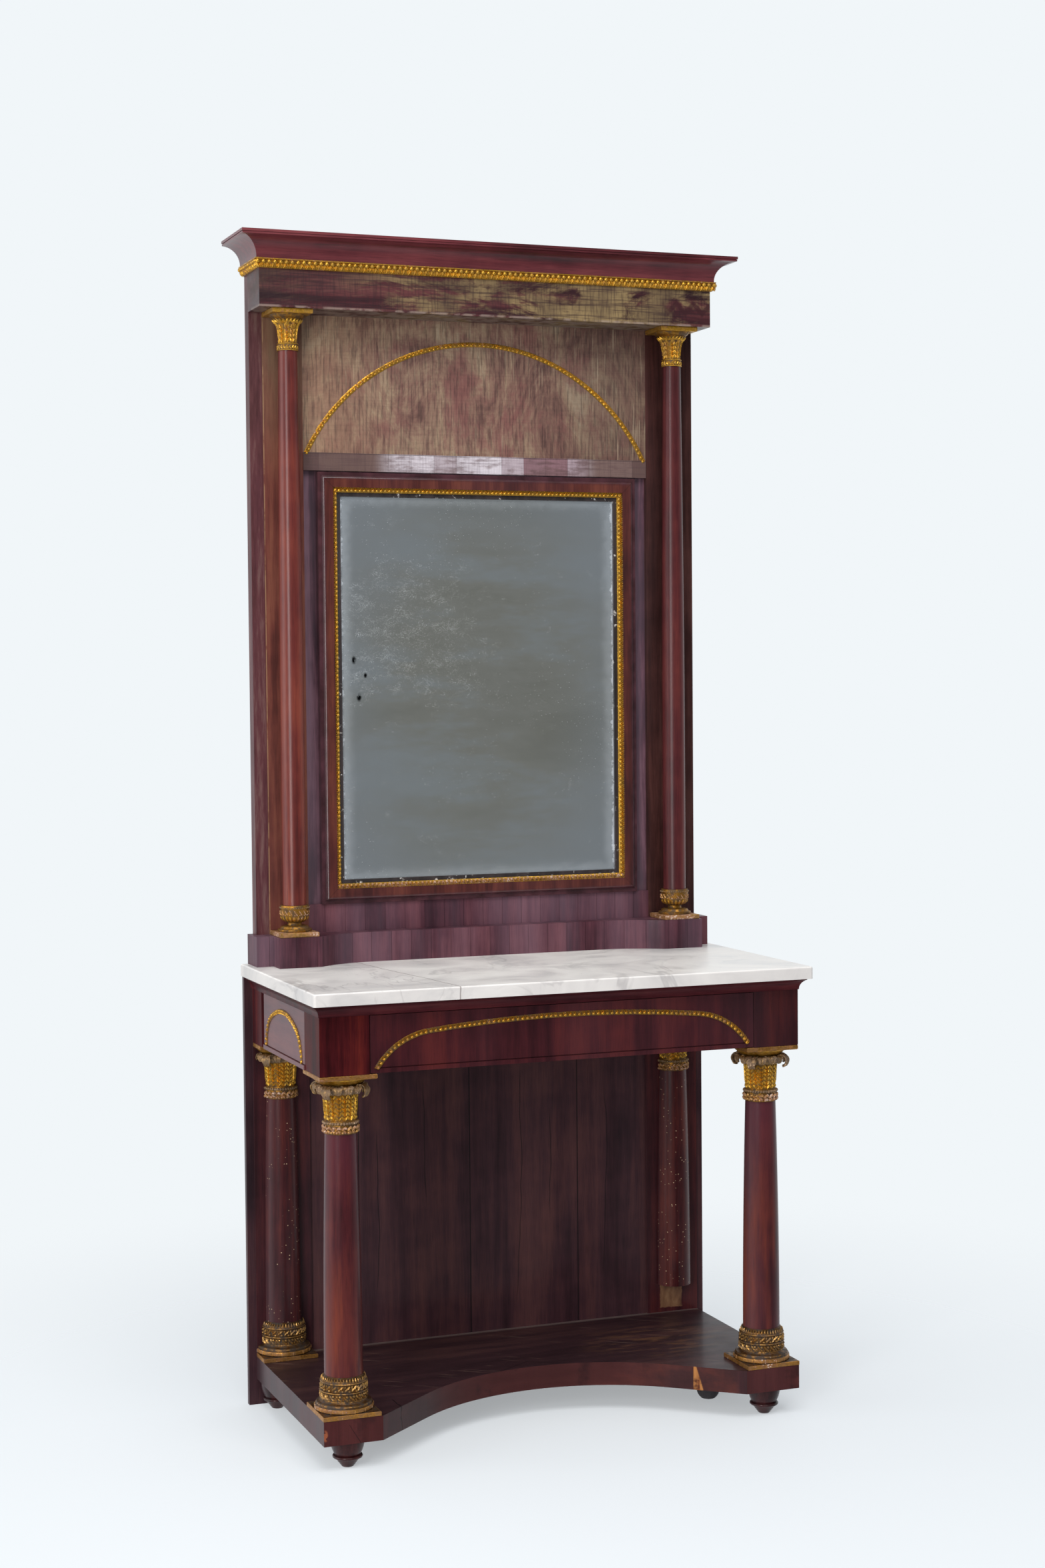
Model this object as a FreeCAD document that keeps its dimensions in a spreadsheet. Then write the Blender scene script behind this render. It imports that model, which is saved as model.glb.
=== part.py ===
import FreeCAD, Part
import math
import os
import Sketcher

# Empire pier table with its tall mirror: a marble-topped console on two free columns and two
# half columns, and a pier glass on slender columns that stands on the marble.
# Frame in mm: X to the right, Y towards the wall, Z up. The origin is on the floor, under the
# middle of the piece.

os.makedirs("parts", exist_ok=True)
doc = FreeCAD.newDocument("PierTable")
sheet = doc.addObject("Spreadsheet::Sheet", "Sizes")

LEFT = -1
RIGHT = 1
SIDE_NAMES = {LEFT: "left", RIGHT: "right"}
FULL_TURN = 360
SCROLL_TURN = 260
CORNERS = 4
EIGHTH_TURN = 45
NEARLY_HALF_ROUND = 0.52
AXIS_REACH = 1
TOLERANCE = 0.01


# ---------------------------------------------------------------- sizes and their formulas

class Size:
    """A length in mm, kept together with the spreadsheet formula that gives it."""

    def __init__(self, value, formula):
        self.value = float(value)
        self.formula = formula

    def __add__(self, other):
        other = as_size(other)
        return Size(self.value + other.value, f"({self.formula} + {other.formula})")

    def __sub__(self, other):
        other = as_size(other)
        return Size(self.value - other.value, f"({self.formula} - {other.formula})")

    def __mul__(self, other):
        other = as_size(other)
        return Size(self.value * other.value, f"({self.formula} * {other.formula})")

    def __truediv__(self, other):
        other = as_size(other)
        return Size(self.value / other.value, f"({self.formula} / {other.formula})")

    def __neg__(self):
        return Size(-self.value, f"(0 - {self.formula})")

    __radd__ = __add__
    __rmul__ = __mul__


def as_size(number):
    if isinstance(number, Size):
        return number
    return Size(number, str(number))


def root(size):
    return Size(math.sqrt(size.value), f"sqrt({size.formula})")


class Sizes:
    """The driving dimensions, each one an attribute and an aliased cell of the sheet."""

    def __init__(self, dimensions):
        for row, (alias, value) in enumerate(dimensions.items(), 1):
            sheet.set(f"A{row}", alias.replace("_", " "))
            sheet.set(f"B{row}", str(value))
            sheet.setAlias(f"B{row}", alias)
            setattr(self, alias, Size(value, f"Sizes.{alias}"))


# The driving dimensions in mm, in the order of the sheet.
DIMENSIONS = {
    # Marble and the frieze under it.
    "table_height": 968,
    "marble_width": 1100,
    "marble_depth": 568,
    "marble_thickness": 26,
    "marble_corner_radius": 6,
    "marble_eased_edge": 4,
    "marble_front_overhang": 34,
    "frieze_side_inset": 20,
    "frieze_height": 119,
    "top_moulding_height": 25,
    "top_moulding_projection": 15,
    "top_moulding_fillet": 4,
    "cavetto_foot": 2,
    "cavetto_radius": 22,
    "top_moulding_width": 22,
    "top_rail_depth": 60,
    # Posts and rails of the frieze, and the hidden drawer.
    "post_width": 104,
    "front_post_depth": 106,
    "rear_post_depth": 74,
    "side_face_thickness": 12,
    "side_liner_thickness": 10,
    "side_gap": 21,
    "lip_height": 9,
    "lip_projection": 2.5,
    "lip_groove": 2,
    "lip_groove_depth": 3,
    "lip_inset": 18.5,
    "drawer_gap": 1.5,
    "drawer_side_gap": 2,
    "drawer_front_thickness": 22,
    "drawer_side_thickness": 12,
    "drawer_side_height": 93,
    "drawer_side_inset": 14,
    "drawer_depth": 400,
    "drawer_back_thickness": 12,
    "drawer_bottom_thickness": 6,
    "drawer_bottom_lift": 2,
    "runner_thickness": 12,
    "runner_lift": 2,
    "runner_clearance": 0.3,
    "runner_overlap": 7,
    # Back board, platform and feet.
    "board_side_inset": 3,
    "board_thickness": 14,
    "pilaster_width": 126,
    "pilaster_thickness": 6,
    "platform_thickness": 50,
    "platform_block_width": 124,
    "platform_cheek_width": 130,
    "platform_curve_radius": 430,
    "platform_curve_apex": 209,
    "foot_height": 57,
    "foot_top_radius": 35,
    "foot_ring_radius": 28.5,
    "foot_ring_height": 6,
    "foot_ring_level": 18,
    "foot_neck_radius": 26,
    "foot_tip_radius": 12,
    "foot_hollow_radius": 68,
    "foot_side_inset": 62,
    "foot_front_inset": 45,
    "foot_rear_inset": 36,
    "foot_rear_side_inset": 36,
    "bun_radius": 25,
    "bun_tip_radius": 15,
    "bun_round_height": 22,
    "bun_from_side": 127,
    "bun_from_front": 188,
    # Columns of the console with their gilt capitals and bases.
    "plinth_side": 120,
    "plinth_thickness": 9,
    "torus_thickness": 17,
    "torus_inset": 0.5,
    "base_groove": 3,
    "drum_radius": 49,
    "drum_band_height": 17,
    "drum_neck_radius": 46.5,
    "drum_bulge_radius": 34,
    "crown_height": 13,
    "crown_radius": 46,
    "crown_clearance": 0.4,
    "crown_wall": 4,
    "column_low_radius": 39.5,
    "column_top_radius": 32.5,
    "column_entasis_radius": 20000,
    "capital_height": 123.5,
    "capital_ring_height": 26.5,
    "capital_ring_radius": 37,
    "capital_ring_bulge": 26,
    "bell_low_radius": 33,
    "bell_waist_height": 34,
    "bell_top_radius": 38.5,
    "dish_radius": 52,
    "dish_height": 14,
    "dish_step": 3,
    "dish_curve_radius": 21,
    "abacus_thickness": 10,
    "scroll_outer_radius": 14,
    "scroll_band": 5,
    "scroll_width": 18,
    "scroll_reach": 61,
    "scroll_bite": 2,
    # Base and backboard of the pier glass.
    "glass_base_inset": 16,
    "glass_base_height": 65,
    "glass_base_front": 78,
    "block_width": 94,
    "block_projection": 50,
    "block_inset": 72,
    "base_wing_width": 133,
    "backboard_inset": 12,
    "stile_width": 117,
    "stile_rebate_width": 28,
    "stile_rebate_depth": 3,
    "backboard_thickness": 34,
    "backboard_height": 1484,
    "tympanum_height": 414,
    "bay_recess": 10,
    "panel_thickness": 20,
    "backing_thickness": 10,
    "bottom_rail_height": 61,
    "crossband_height": 39,
    "crossband_projection": 2,
    # Mirror frame, sight edge and glass.
    "frame_side_gap": 30,
    "frame_top_gap": 3,
    "frame_member": 33,
    "frame_rim": 8,
    "frame_thickness": 16,
    "frame_ovolo": 7,
    "frame_ovolo_radius": 6.5,
    "sight_member": 10,
    "sight_thickness": 12,
    "slip_member": 9,
    "slip_thickness": 6,
    "glass_thickness": 5,
    # Slender columns of the pier glass.
    "slender_plinth_side": 85,
    "slender_plinth_thickness": 10,
    "slender_disc_radius": 37,
    "slender_disc_height": 13,
    "slender_neck_radius": 15,
    "slender_neck_height": 7,
    "slender_cup_radius": 32,
    "slender_cup_height": 37,
    "slender_cup_foot": 20,
    "slender_cup_curve": 28,
    "slender_cup_lip": 8,
    "slender_cup_mouth": 30,
    "slender_low_radius": 25.5,
    "slender_top_radius": 20.5,
    "slender_entasis_radius": 90000,
    "slender_capital_height": 86,
    "slender_ring_radius": 22.5,
    "slender_ring_height": 15,
    "slender_ring_bulge": 15,
    "slender_bell_low_radius": 18.5,
    "slender_bell_top_radius": 36,
    "slender_bell_step": 3,
    "slender_bell_curve": 86,
    "slender_abacus_side": 89,
    "slender_abacus_thickness": 10,
    "slender_lip_height": 8,
    # Frieze box and cornice.
    "box_height": 80,
    "box_overhang": 2,
    "box_depth": 96,
    "box_board": 20,
    "leaf_height": 20,
    "leaf_low_projection": 4,
    "leaf_top_projection": 11,
    "leaf_lip": 5,
    "cove_step": 7,
    "cove_rise": 3,
    "cove_width": 38,
    "cove_radius": 40,
    "cornice_height": 73,
    "cornice_fillet": 10,
    "cornice_fillet_step": 2.5,
    "cornice_bead_height": 3.5,
    "cornice_bead_step": 1.2,
    "cornice_groove": 1,
    # Gilt arches.
    "arch_band": 12,
    "arch_relief": 4.5,
    "front_arch_rise": 89,
    "front_arch_shoulder_inset": 124.5,
    "front_arch_shoulder_drop": 16,
    "front_arch_end_radius": 158,
    "arch_foot_lift": 13,
    "side_arch_rise": 90,
    "side_arch_shoulder_inset": 59.5,
    "side_arch_shoulder_drop": 22,
    "side_arch_end_radius": 77,
    "tympanum_span_inset": 1,
    "tympanum_rise": 252,
    "tympanum_band": 11,
    "tympanum_relief": 5,
}

S = Sizes(DIMENSIONS)

# Levels and planes that several pieces share.
back = S.marble_depth / 2
marble_front = -back
frieze_front = marble_front + S.marble_front_overhang
frieze_side = S.marble_width / 2 - S.frieze_side_inset
marble_bottom = S.table_height - S.marble_thickness
frieze_top = marble_bottom - S.top_moulding_height
frieze_bottom = frieze_top - S.frieze_height
board_front = back - S.board_thickness
pilaster_front = board_front - S.pilaster_thickness
platform_bottom = S.foot_height
platform_top = platform_bottom + S.platform_thickness
post_inner = frieze_side - S.post_width
front_post_back = frieze_front + S.front_post_depth
rear_post_front = pilaster_front - S.rear_post_depth
column_x = frieze_side - S.plinth_side / 2
column_y = frieze_front + S.plinth_side / 2
drum_height = S.drum_band_height * 2 + S.base_groove * 2
shaft_bottom = platform_top + S.plinth_thickness + S.torus_thickness + drum_height
shaft_top = frieze_bottom - S.capital_height

glass_base_front = back - S.glass_base_front
glass_base_top = S.table_height + S.glass_base_height
glass_base_side = S.marble_width / 2 - S.glass_base_inset
backboard_front = back - S.backboard_thickness
backboard_side = glass_base_side - S.backboard_inset
backboard_top = S.table_height + S.backboard_height
bay_half = backboard_side - S.stile_width
bay_top = backboard_top - S.tympanum_height
block_front = glass_base_front - S.block_projection
block_axis = backboard_side - S.block_inset
block_inner = block_axis - S.block_width / 2
slender_y = (block_front + backboard_front) / 2
box_bottom = backboard_top - S.box_height
box_front = backboard_front - S.box_depth
slender_shaft_bottom = (
    glass_base_top
    + S.slender_plinth_thickness
    + S.slender_disc_height
    + S.slender_neck_height
    + S.slender_cup_height
)
slender_shaft_top = box_bottom - S.slender_capital_height
bay_plane = backboard_front + S.bay_recess
frame_bottom = glass_base_top + S.bottom_rail_height

pieces = []


# ---------------------------------------------------------------- ways of making a piece

def bind(item, prop, size):
    item.setExpression(prop, as_size(size).formula)


def place(item, x=0, y=0, z=0):
    bind(item, ".Placement.Base.x", x)
    bind(item, ".Placement.Base.y", y)
    bind(item, ".Placement.Base.z", z)


def sided(side, near, far):
    """The X range from near to far, counted from the middle towards one side."""
    if side == RIGHT:
        return near, far
    return -far, -near


def board(label, x_range, y_range, z_range, keep=True):
    """A plain rectangular piece between the given limits."""
    box = doc.addObject("Part::Box", label)
    box.Label = label
    bind(box, "Length", x_range[1] - x_range[0])
    bind(box, "Width", y_range[1] - y_range[0])
    bind(box, "Height", z_range[1] - z_range[0])
    place(box, x_range[0], y_range[0], z_range[0])
    if keep:
        pieces.append(box)
    return box


def new_body(label, keep=True):
    body = doc.addObject("PartDesign::Body", label)
    body.Label = label
    if keep:
        pieces.append(body)
    return body


def sketch_on(body, role, offset=0):
    """A sketch on one of the body's own origin planes, moved along the plane's normal."""
    sketch = body.newObject("Sketcher::SketchObject", body.Name + "_sketch")
    plane = next(item for item in body.Origin.OriginFeatures if item.Role == role)
    sketch.AttachmentSupport = [(plane, "")]
    sketch.MapMode = "FlatFace"
    bind(sketch, ".AttachmentOffset.Base.z", offset)
    return sketch


def arc_between(start, end, radius):
    """An arc from start to end: a positive radius turns left, a negative one right."""
    chord = end - start
    middle = (start + end) * 0.5
    left = FreeCAD.Vector(-chord.y, chord.x, 0).normalize()
    rise = math.sqrt(max(radius * radius - chord.Length * chord.Length / 4, 0))
    centre = middle + left * math.copysign(rise, radius)
    first, last = (start, end) if radius > 0 else (end, start)
    angle_first = math.atan2(first.y - centre.y, first.x - centre.x)
    angle_last = math.atan2(last.y - centre.y, last.x - centre.x)
    if angle_last < angle_first:
        angle_last += 2 * math.pi
    circle = Part.Circle(centre, FreeCAD.Vector(0, 0, 1), abs(radius))
    return Part.ArcOfCircle(circle, angle_first, angle_last)


def hold(sketch, kind, axis, index, corner, size):
    """Tie one coordinate of a corner to the sheet, or to the axis where it is zero."""
    if size.formula == "0":
        sketch.addConstraint(Sketcher.Constraint("PointOnObject", index, corner, axis))
        return
    number = sketch.addConstraint(Sketcher.Constraint(kind, -1, 1, index, corner, size.value))
    sketch.setExpression(f"Constraints[{number}]", size.formula)


def draw(sketch, outline, closed=True):
    """Draw an outline of (u, v) corners; (u, v, radius) starts an arc to the next corner."""
    base = sketch.GeometryCount
    count = len(outline) if closed else len(outline) - 1
    starts = []
    ends = []
    for step in range(count):
        u, v = (as_size(value) for value in outline[step][:2])
        next_u, next_v = (as_size(value) for value in outline[(step + 1) % len(outline)][:2])
        start = FreeCAD.Vector(u.value, v.value, 0)
        end = FreeCAD.Vector(next_u.value, next_v.value, 0)
        if len(outline[step]) == 2:
            sketch.addGeometry(Part.LineSegment(start, end), False)
            starts.append(1)
            ends.append(2)
            continue
        radius = as_size(outline[step][2])
        sketch.addGeometry(arc_between(start, end, radius.value), False)
        starts.append(1 if radius.value > 0 else 2)
        ends.append(2 if radius.value > 0 else 1)
        size = radius if radius.value > 0 else -radius
        number = sketch.addConstraint(Sketcher.Constraint("Radius", base + step, size.value))
        sketch.setExpression(f"Constraints[{number}]", size.formula)
    for step in range(count if closed else count - 1):
        following = (step + 1) % count
        sketch.addConstraint(Sketcher.Constraint(
            "Coincident", base + step, ends[step], base + following, starts[following]))
    for step in range(count):
        u, v = (as_size(value) for value in outline[step][:2])
        hold(sketch, "DistanceX", -2, base + step, starts[step], u)
        hold(sketch, "DistanceY", -1, base + step, starts[step], v)
    if not closed:
        u, v = (as_size(value) for value in outline[-1][:2])
        hold(sketch, "DistanceX", -2, base + count - 1, ends[-1], u)
        hold(sketch, "DistanceY", -1, base + count - 1, ends[-1], v)


def rectangle(u_range, v_range):
    return [
        (u_range[0], v_range[0]),
        (u_range[1], v_range[0]),
        (u_range[1], v_range[1]),
        (u_range[0], v_range[1]),
    ]


def pad(body, sketch, length, back_to_front=True):
    """Thicken a sketch along its normal, which on an XZ plane looks to the front, or against it."""
    feature = body.newObject("PartDesign::Pad", body.Name + "_pad")
    feature.Profile = sketch
    bind(feature, "Length", length)
    feature.Reversed = not back_to_front
    return feature


def pocket(body, sketch, depth, reverse=False):
    feature = body.newObject("PartDesign::Pocket", body.Name + "_pocket")
    feature.Profile = sketch
    bind(feature, "Length", depth)
    feature.Reversed = reverse
    return feature


def turn(body, outline):
    """Turn a profile of (radius, height) corners on the lathe, about the body's Z axis."""
    sketch = sketch_on(body, "XZ_Plane")
    draw(sketch, outline)
    feature = body.newObject("PartDesign::Revolution", body.Name + "_turning")
    feature.Profile = sketch
    feature.ReferenceAxis = (sketch, ["V_Axis"])
    feature.Angle = FULL_TURN
    return feature


def round_edges(body, feature, radius, wanted):
    """Round the edges of the last feature whose middle point satisfies a test."""
    doc.recompute()
    names = []
    for number, edge in enumerate(feature.Shape.Edges, 1):
        middle = edge.valueAt((edge.FirstParameter + edge.LastParameter) / 2)
        if wanted(edge, middle):
            names.append(f"Edge{number}")
    fillet = body.newObject("PartDesign::Fillet", body.Name + "_rounding")
    fillet.Base = (feature, names)
    bind(fillet, "Radius", radius)
    return fillet


def close(one, other):
    return abs(one - as_size(other).value) < TOLERANCE


def front_half(label, whole, axis_y, reach):
    """Keep the front half of a turned piece, cut flat where it meets the pilaster."""
    saw = board(
        label + "_saw",
        (-frieze_side - reach, frieze_side + reach),
        (axis_y, axis_y + reach),
        (as_size(0), S.table_height),
        keep=False,
    )
    cut = doc.addObject("Part::Cut", label)
    cut.Label = label
    cut.Base = whole
    cut.Tool = saw
    pieces.append(cut)
    return cut


def mitred_moulding(label, half_width, front, rear, level, profile):
    """Run a profile of (projection, height) corners along the left, front and right sides."""
    body = new_body(label)
    path = sketch_on(body, "XY_Plane")
    draw(path, [(-half_width, rear), (-half_width, front), (half_width, front), (half_width, rear)],
         closed=False)
    section = sketch_on(body, "XZ_Plane", -rear)
    draw(section, [(-half_width - corner[0], corner[1], *corner[2:]) for corner in profile])
    pipe = body.newObject("PartDesign::AdditivePipe", label + "_run")
    pipe.Profile = section
    pipe.Spine = (path, ["Edge1", "Edge2", "Edge3"])
    pipe.Transition = "Right corner"
    place(body, z=level)
    return body


def arch_points(rise, shoulder, drop, end_radius):
    """Centres and radii of an arch with a flat crown arc and a tighter arc at each end."""
    crown_radius = (shoulder * shoulder + drop * drop) / (2 * drop)
    crown_centre = rise - crown_radius
    lean_x = shoulder / crown_radius
    lean_z = (crown_radius - drop) / crown_radius
    end_x = shoulder - end_radius * lean_x
    end_z = rise - drop - end_radius * lean_z
    return crown_radius, crown_centre, lean_x, lean_z, end_x, end_z


def arch_edge(inset, rise, shoulder, drop, end_radius):
    """Corners of one edge of the arch band, right foot to left foot, inset from the outer edge."""
    crown_radius, crown_centre, lean_x, lean_z, end_x, end_z = arch_points(
        rise, shoulder, drop, end_radius)
    crown = crown_radius - inset
    end = end_radius - inset
    foot = end_x + root(end * end - end_z * end_z)
    knee_x = lean_x * crown
    knee_z = crown_centre + lean_z * crown
    return [(foot, 0, end), (knee_x, knee_z, crown), (-knee_x, knee_z, end), (-foot, 0)]


def backwards(edge):
    """The same corners walked the other way, with the arcs turned over."""
    turned = []
    for step in range(len(edge) - 1, -1, -1):
        corner = edge[step][:2]
        if step > 0 and len(edge[step - 1]) == 3:
            corner = (*corner, -edge[step - 1][2])
        turned.append(corner)
    return turned


def arch_band(label, plane, depth, outer, inner):
    """A flat gilt band between two edges, standing on a vertical plane."""
    body = new_body(label)
    sketch = sketch_on(body, plane)
    draw(sketch, outer + backwards(inner))
    pad(body, sketch, depth)
    return body


# ---------------------------------------------------------------- platform and feet

def make_platform():
    """The low platform, cut back in front to a shallow curve between two square blocks."""
    body = new_body("platform")
    sketch = sketch_on(body, "XY_Plane")
    block = frieze_side - S.platform_block_width
    curve = block - S.platform_cheek_width
    radius = S.platform_curve_radius
    apex = frieze_front + S.platform_curve_apex
    curve_end = apex - radius + root(radius * radius - curve * curve)
    draw(sketch, [
        (-frieze_side, board_front),
        (-frieze_side, frieze_front),
        (-block, frieze_front),
        (-curve, curve_end, -radius),
        (curve, curve_end),
        (block, frieze_front),
        (frieze_side, frieze_front),
        (frieze_side, board_front),
    ])
    pad(body, sketch, S.platform_thickness)
    place(body, z=platform_bottom)


def make_turned_foot(label, x, y):
    """A turned foot: a bulb that tapers to a ring, then a small cone to the floor."""
    body = new_body(label)
    ring_top = S.foot_ring_level + S.foot_ring_height
    turn(body, [
        (0, 0),
        (S.foot_tip_radius, 0),
        (S.foot_neck_radius, S.foot_ring_level),
        (S.foot_ring_radius, S.foot_ring_level, S.foot_ring_height * NEARLY_HALF_ROUND),
        (S.foot_ring_radius, ring_top),
        (S.foot_neck_radius, ring_top, S.foot_hollow_radius),
        (S.foot_top_radius, S.foot_height),
        (0, S.foot_height),
    ])
    place(body, x, y)


def make_feet():
    front_x = frieze_side - S.foot_side_inset
    rear_x = frieze_side - S.foot_rear_side_inset
    front_y = frieze_front + S.foot_front_inset
    rear_y = board_front - S.foot_rear_inset
    for side in (LEFT, RIGHT):
        make_turned_foot(f"foot_front_{SIDE_NAMES[side]}", front_x * side, front_y)
        make_turned_foot(f"foot_rear_{SIDE_NAMES[side]}", rear_x * side, rear_y)


def make_bun_feet():
    """Two plain rounded bearers under the middle of the platform."""
    halves = []
    for side in (LEFT, RIGHT):
        body = new_body(f"bun_{SIDE_NAMES[side]}", keep=False)
        turn(body, [
            (0, 0),
            (S.bun_tip_radius, 0, S.bun_radius),
            (S.bun_radius, S.bun_round_height),
            (S.bun_radius, S.foot_height),
            (0, S.foot_height),
        ])
        place(body, (frieze_side - S.bun_from_side) * side, frieze_front + S.bun_from_front)
        halves.append(body)
    pair = doc.addObject("Part::Compound", "bun_feet")
    pair.Label = "bun_feet"
    pair.Links = halves
    pieces.append(pair)


# ---------------------------------------------------------------- columns of the console

def base_profile():
    """Plinth upwards: round torus, groove, two carved bands and the crown round the shaft."""
    torus = S.torus_thickness / 2
    torus_radius = S.plinth_side / 2 - S.torus_inset
    level = S.plinth_thickness
    groove = level + S.torus_thickness
    band_low = groove + S.base_groove
    band_mid = band_low + S.drum_band_height
    band_high = band_mid + S.base_groove
    seat = band_high + S.drum_band_height
    crown_inner = S.column_low_radius + S.crown_clearance
    return [
        (0, level),
        (torus_radius - torus, level, S.torus_thickness * NEARLY_HALF_ROUND),
        (torus_radius - torus, groove),
        (S.drum_neck_radius, groove),
        (S.drum_neck_radius, band_low),
        (S.drum_radius, band_low, S.drum_bulge_radius),
        (S.drum_radius, band_mid),
        (S.drum_neck_radius, band_mid),
        (S.drum_neck_radius, band_high),
        (S.drum_radius, band_high, S.drum_bulge_radius),
        (S.drum_radius, seat),
        (S.crown_radius, seat + S.crown_height),
        (crown_inner, seat + S.crown_height),
        (crown_inner, seat),
        (0, seat),
    ]


def make_base(label, x, y, keep=True):
    body = new_body(label, keep)
    turn(body, base_profile())
    sketch = sketch_on(body, "XY_Plane")
    half = S.plinth_side / 2
    draw(sketch, rectangle((-half, half), (-half, half)))
    pad(body, sketch, S.plinth_thickness)
    place(body, x, y, platform_top)
    return body


def make_shaft(label, x, y, bottom, top, low_radius, top_radius, entasis, keep=True):
    """A tapered shaft with a slight swell."""
    body = new_body(label, keep)
    turn(body, [
        (0, 0),
        (low_radius, 0, entasis),
        (top_radius, top - bottom),
        (0, top - bottom),
    ])
    place(body, x, y, bottom)
    return body


def make_capital(label, x, y, keep=True):
    """A bell capital: beaded ring, flaring bell, dish and abacus, with a scroll at each corner.

    The body's own axes point to the corners of the abacus, so that one scroll can be repeated
    about the column, and the whole is set at 45 degrees.
    """
    body = new_body(label, keep)
    ring = S.capital_ring_height
    abacus_level = S.capital_height - S.abacus_thickness
    dish_level = abacus_level - S.dish_height
    turn(body, [
        (0, 0),
        (S.capital_ring_radius, 0, S.capital_ring_bulge),
        (S.capital_ring_radius, ring),
        (S.bell_low_radius, ring),
        (S.bell_low_radius, ring + S.bell_waist_height),
        (S.bell_top_radius, dish_level),
        (S.bell_top_radius + S.dish_step, dish_level, S.dish_curve_radius),
        (S.dish_radius, abacus_level),
        (0, abacus_level),
    ])
    outer = S.scroll_outer_radius
    curl = sketch_on(body, "XY_Plane", abacus_level + S.scroll_bite - outer)
    half_width = S.scroll_width / 2
    near = S.scroll_reach - outer
    draw(curl, rectangle((near, near + S.scroll_band), (-half_width, half_width)))
    low_end = FreeCAD.Vector(S.scroll_reach.value, -AXIS_REACH, 0)
    high_end = FreeCAD.Vector(S.scroll_reach.value, AXIS_REACH, 0)
    axis = curl.addGeometry(Part.LineSegment(low_end, high_end), True)
    for end, reach in ((1, -AXIS_REACH), (2, AXIS_REACH)):
        hold(curl, "DistanceX", -2, axis, end, S.scroll_reach)
        hold(curl, "DistanceY", -1, axis, end, as_size(reach))
    scroll = body.newObject("PartDesign::Revolution", label + "_scroll")
    scroll.Profile = curl
    scroll.ReferenceAxis = (curl, ["Axis0"])
    scroll.Angle = SCROLL_TURN
    scroll.Reversed = True
    doc.recompute()
    pattern = body.newObject("PartDesign::PolarPattern", label + "_scrolls")
    pattern.Originals = [scroll]
    z_axis = next(item for item in body.Origin.OriginFeatures if item.Role == "Z_Axis")
    pattern.Axis = (z_axis, [""])
    pattern.Angle = FULL_TURN
    pattern.Occurrences = CORNERS
    body.Tip = pattern
    top = sketch_on(body, "XY_Plane", abacus_level)
    corner = S.plinth_side / root(as_size(2))
    draw(top, [(corner, 0), (0, corner), (-corner, 0), (0, -corner)])
    body.Tip = pad(body, top, S.abacus_thickness)
    body.Placement = FreeCAD.Placement(
        FreeCAD.Vector(0, 0, 0), FreeCAD.Rotation(FreeCAD.Vector(0, 0, 1), EIGHTH_TURN))
    place(body, x, y, shaft_top)
    return body


def make_console_columns():
    for side in (LEFT, RIGHT):
        name = SIDE_NAMES[side]
        x = column_x * side
        make_base(f"base_front_{name}", x, column_y)
        make_shaft(f"column_front_{name}", x, column_y, shaft_bottom, shaft_top,
                   S.column_low_radius, S.column_top_radius, S.column_entasis_radius)
        make_capital(f"capital_front_{name}", x, column_y)
        whole_shaft = make_shaft(f"whole_shaft_{name}", x, pilaster_front, shaft_bottom, shaft_top,
                                 S.column_low_radius, S.column_top_radius,
                                 S.column_entasis_radius, keep=False)
        front_half(f"half_column_{name}", whole_shaft, pilaster_front, S.plinth_side)
        whole_capital = make_capital(f"whole_capital_{name}", x, pilaster_front, keep=False)
        front_half(f"capital_rear_{name}", whole_capital, pilaster_front, S.plinth_side)
    # The gilt base of the right-hand half column is lost: only the left one is left.
    whole_base = make_base("whole_base_left", column_x * LEFT, pilaster_front, keep=False)
    front_half("base_rear_left", whole_base, pilaster_front, S.plinth_side)


# ---------------------------------------------------------------- back board and frieze

def make_back():
    half = S.marble_width / 2 - S.board_side_inset
    board("back_board", (-half, half), (board_front, back), (as_size(0), marble_bottom))
    outer = frieze_side
    for side in (LEFT, RIGHT):
        board(f"pilaster_{SIDE_NAMES[side]}", sided(side, outer - S.pilaster_width, outer),
              (pilaster_front, board_front), (platform_top, frieze_top))


def make_posts():
    for side in (LEFT, RIGHT):
        x_range = sided(side, post_inner, frieze_side)
        board(f"corner_post_{SIDE_NAMES[side]}", x_range, (frieze_front, front_post_back),
              (frieze_bottom, frieze_top))
        board(f"rear_post_{SIDE_NAMES[side]}", x_range, (rear_post_front, pilaster_front),
              (frieze_bottom, frieze_top))


def make_side_rail(side):
    """A veneered face that stops short of the rear post, on a liner that runs through to it."""
    body = new_body(f"side_rail_{SIDE_NAMES[side]}")
    face = frieze_side * side
    joint = (frieze_side - S.side_face_thickness) * side
    liner = (frieze_side - S.side_face_thickness - S.side_liner_thickness) * side
    proud = (frieze_side + S.lip_projection) * side
    groove = (frieze_side - S.lip_groove_depth) * side
    lip_top = frieze_bottom + S.lip_height
    groove_top = lip_top + S.lip_groove
    front_sketch = sketch_on(body, "XZ_Plane", -front_post_back)
    draw(front_sketch, [
        (joint, frieze_bottom),
        (proud, frieze_bottom),
        (proud, lip_top),
        (groove, lip_top),
        (groove, groove_top),
        (face, groove_top),
        (face, frieze_top),
        (joint, frieze_top),
    ])
    pad(body, front_sketch, rear_post_front - S.side_gap - front_post_back, back_to_front=False)
    liner_sketch = sketch_on(body, "XZ_Plane", -front_post_back)
    draw(liner_sketch, rectangle((joint, liner), (frieze_bottom, frieze_top)))
    pad(body, liner_sketch, rear_post_front - front_post_back, back_to_front=False)


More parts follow.
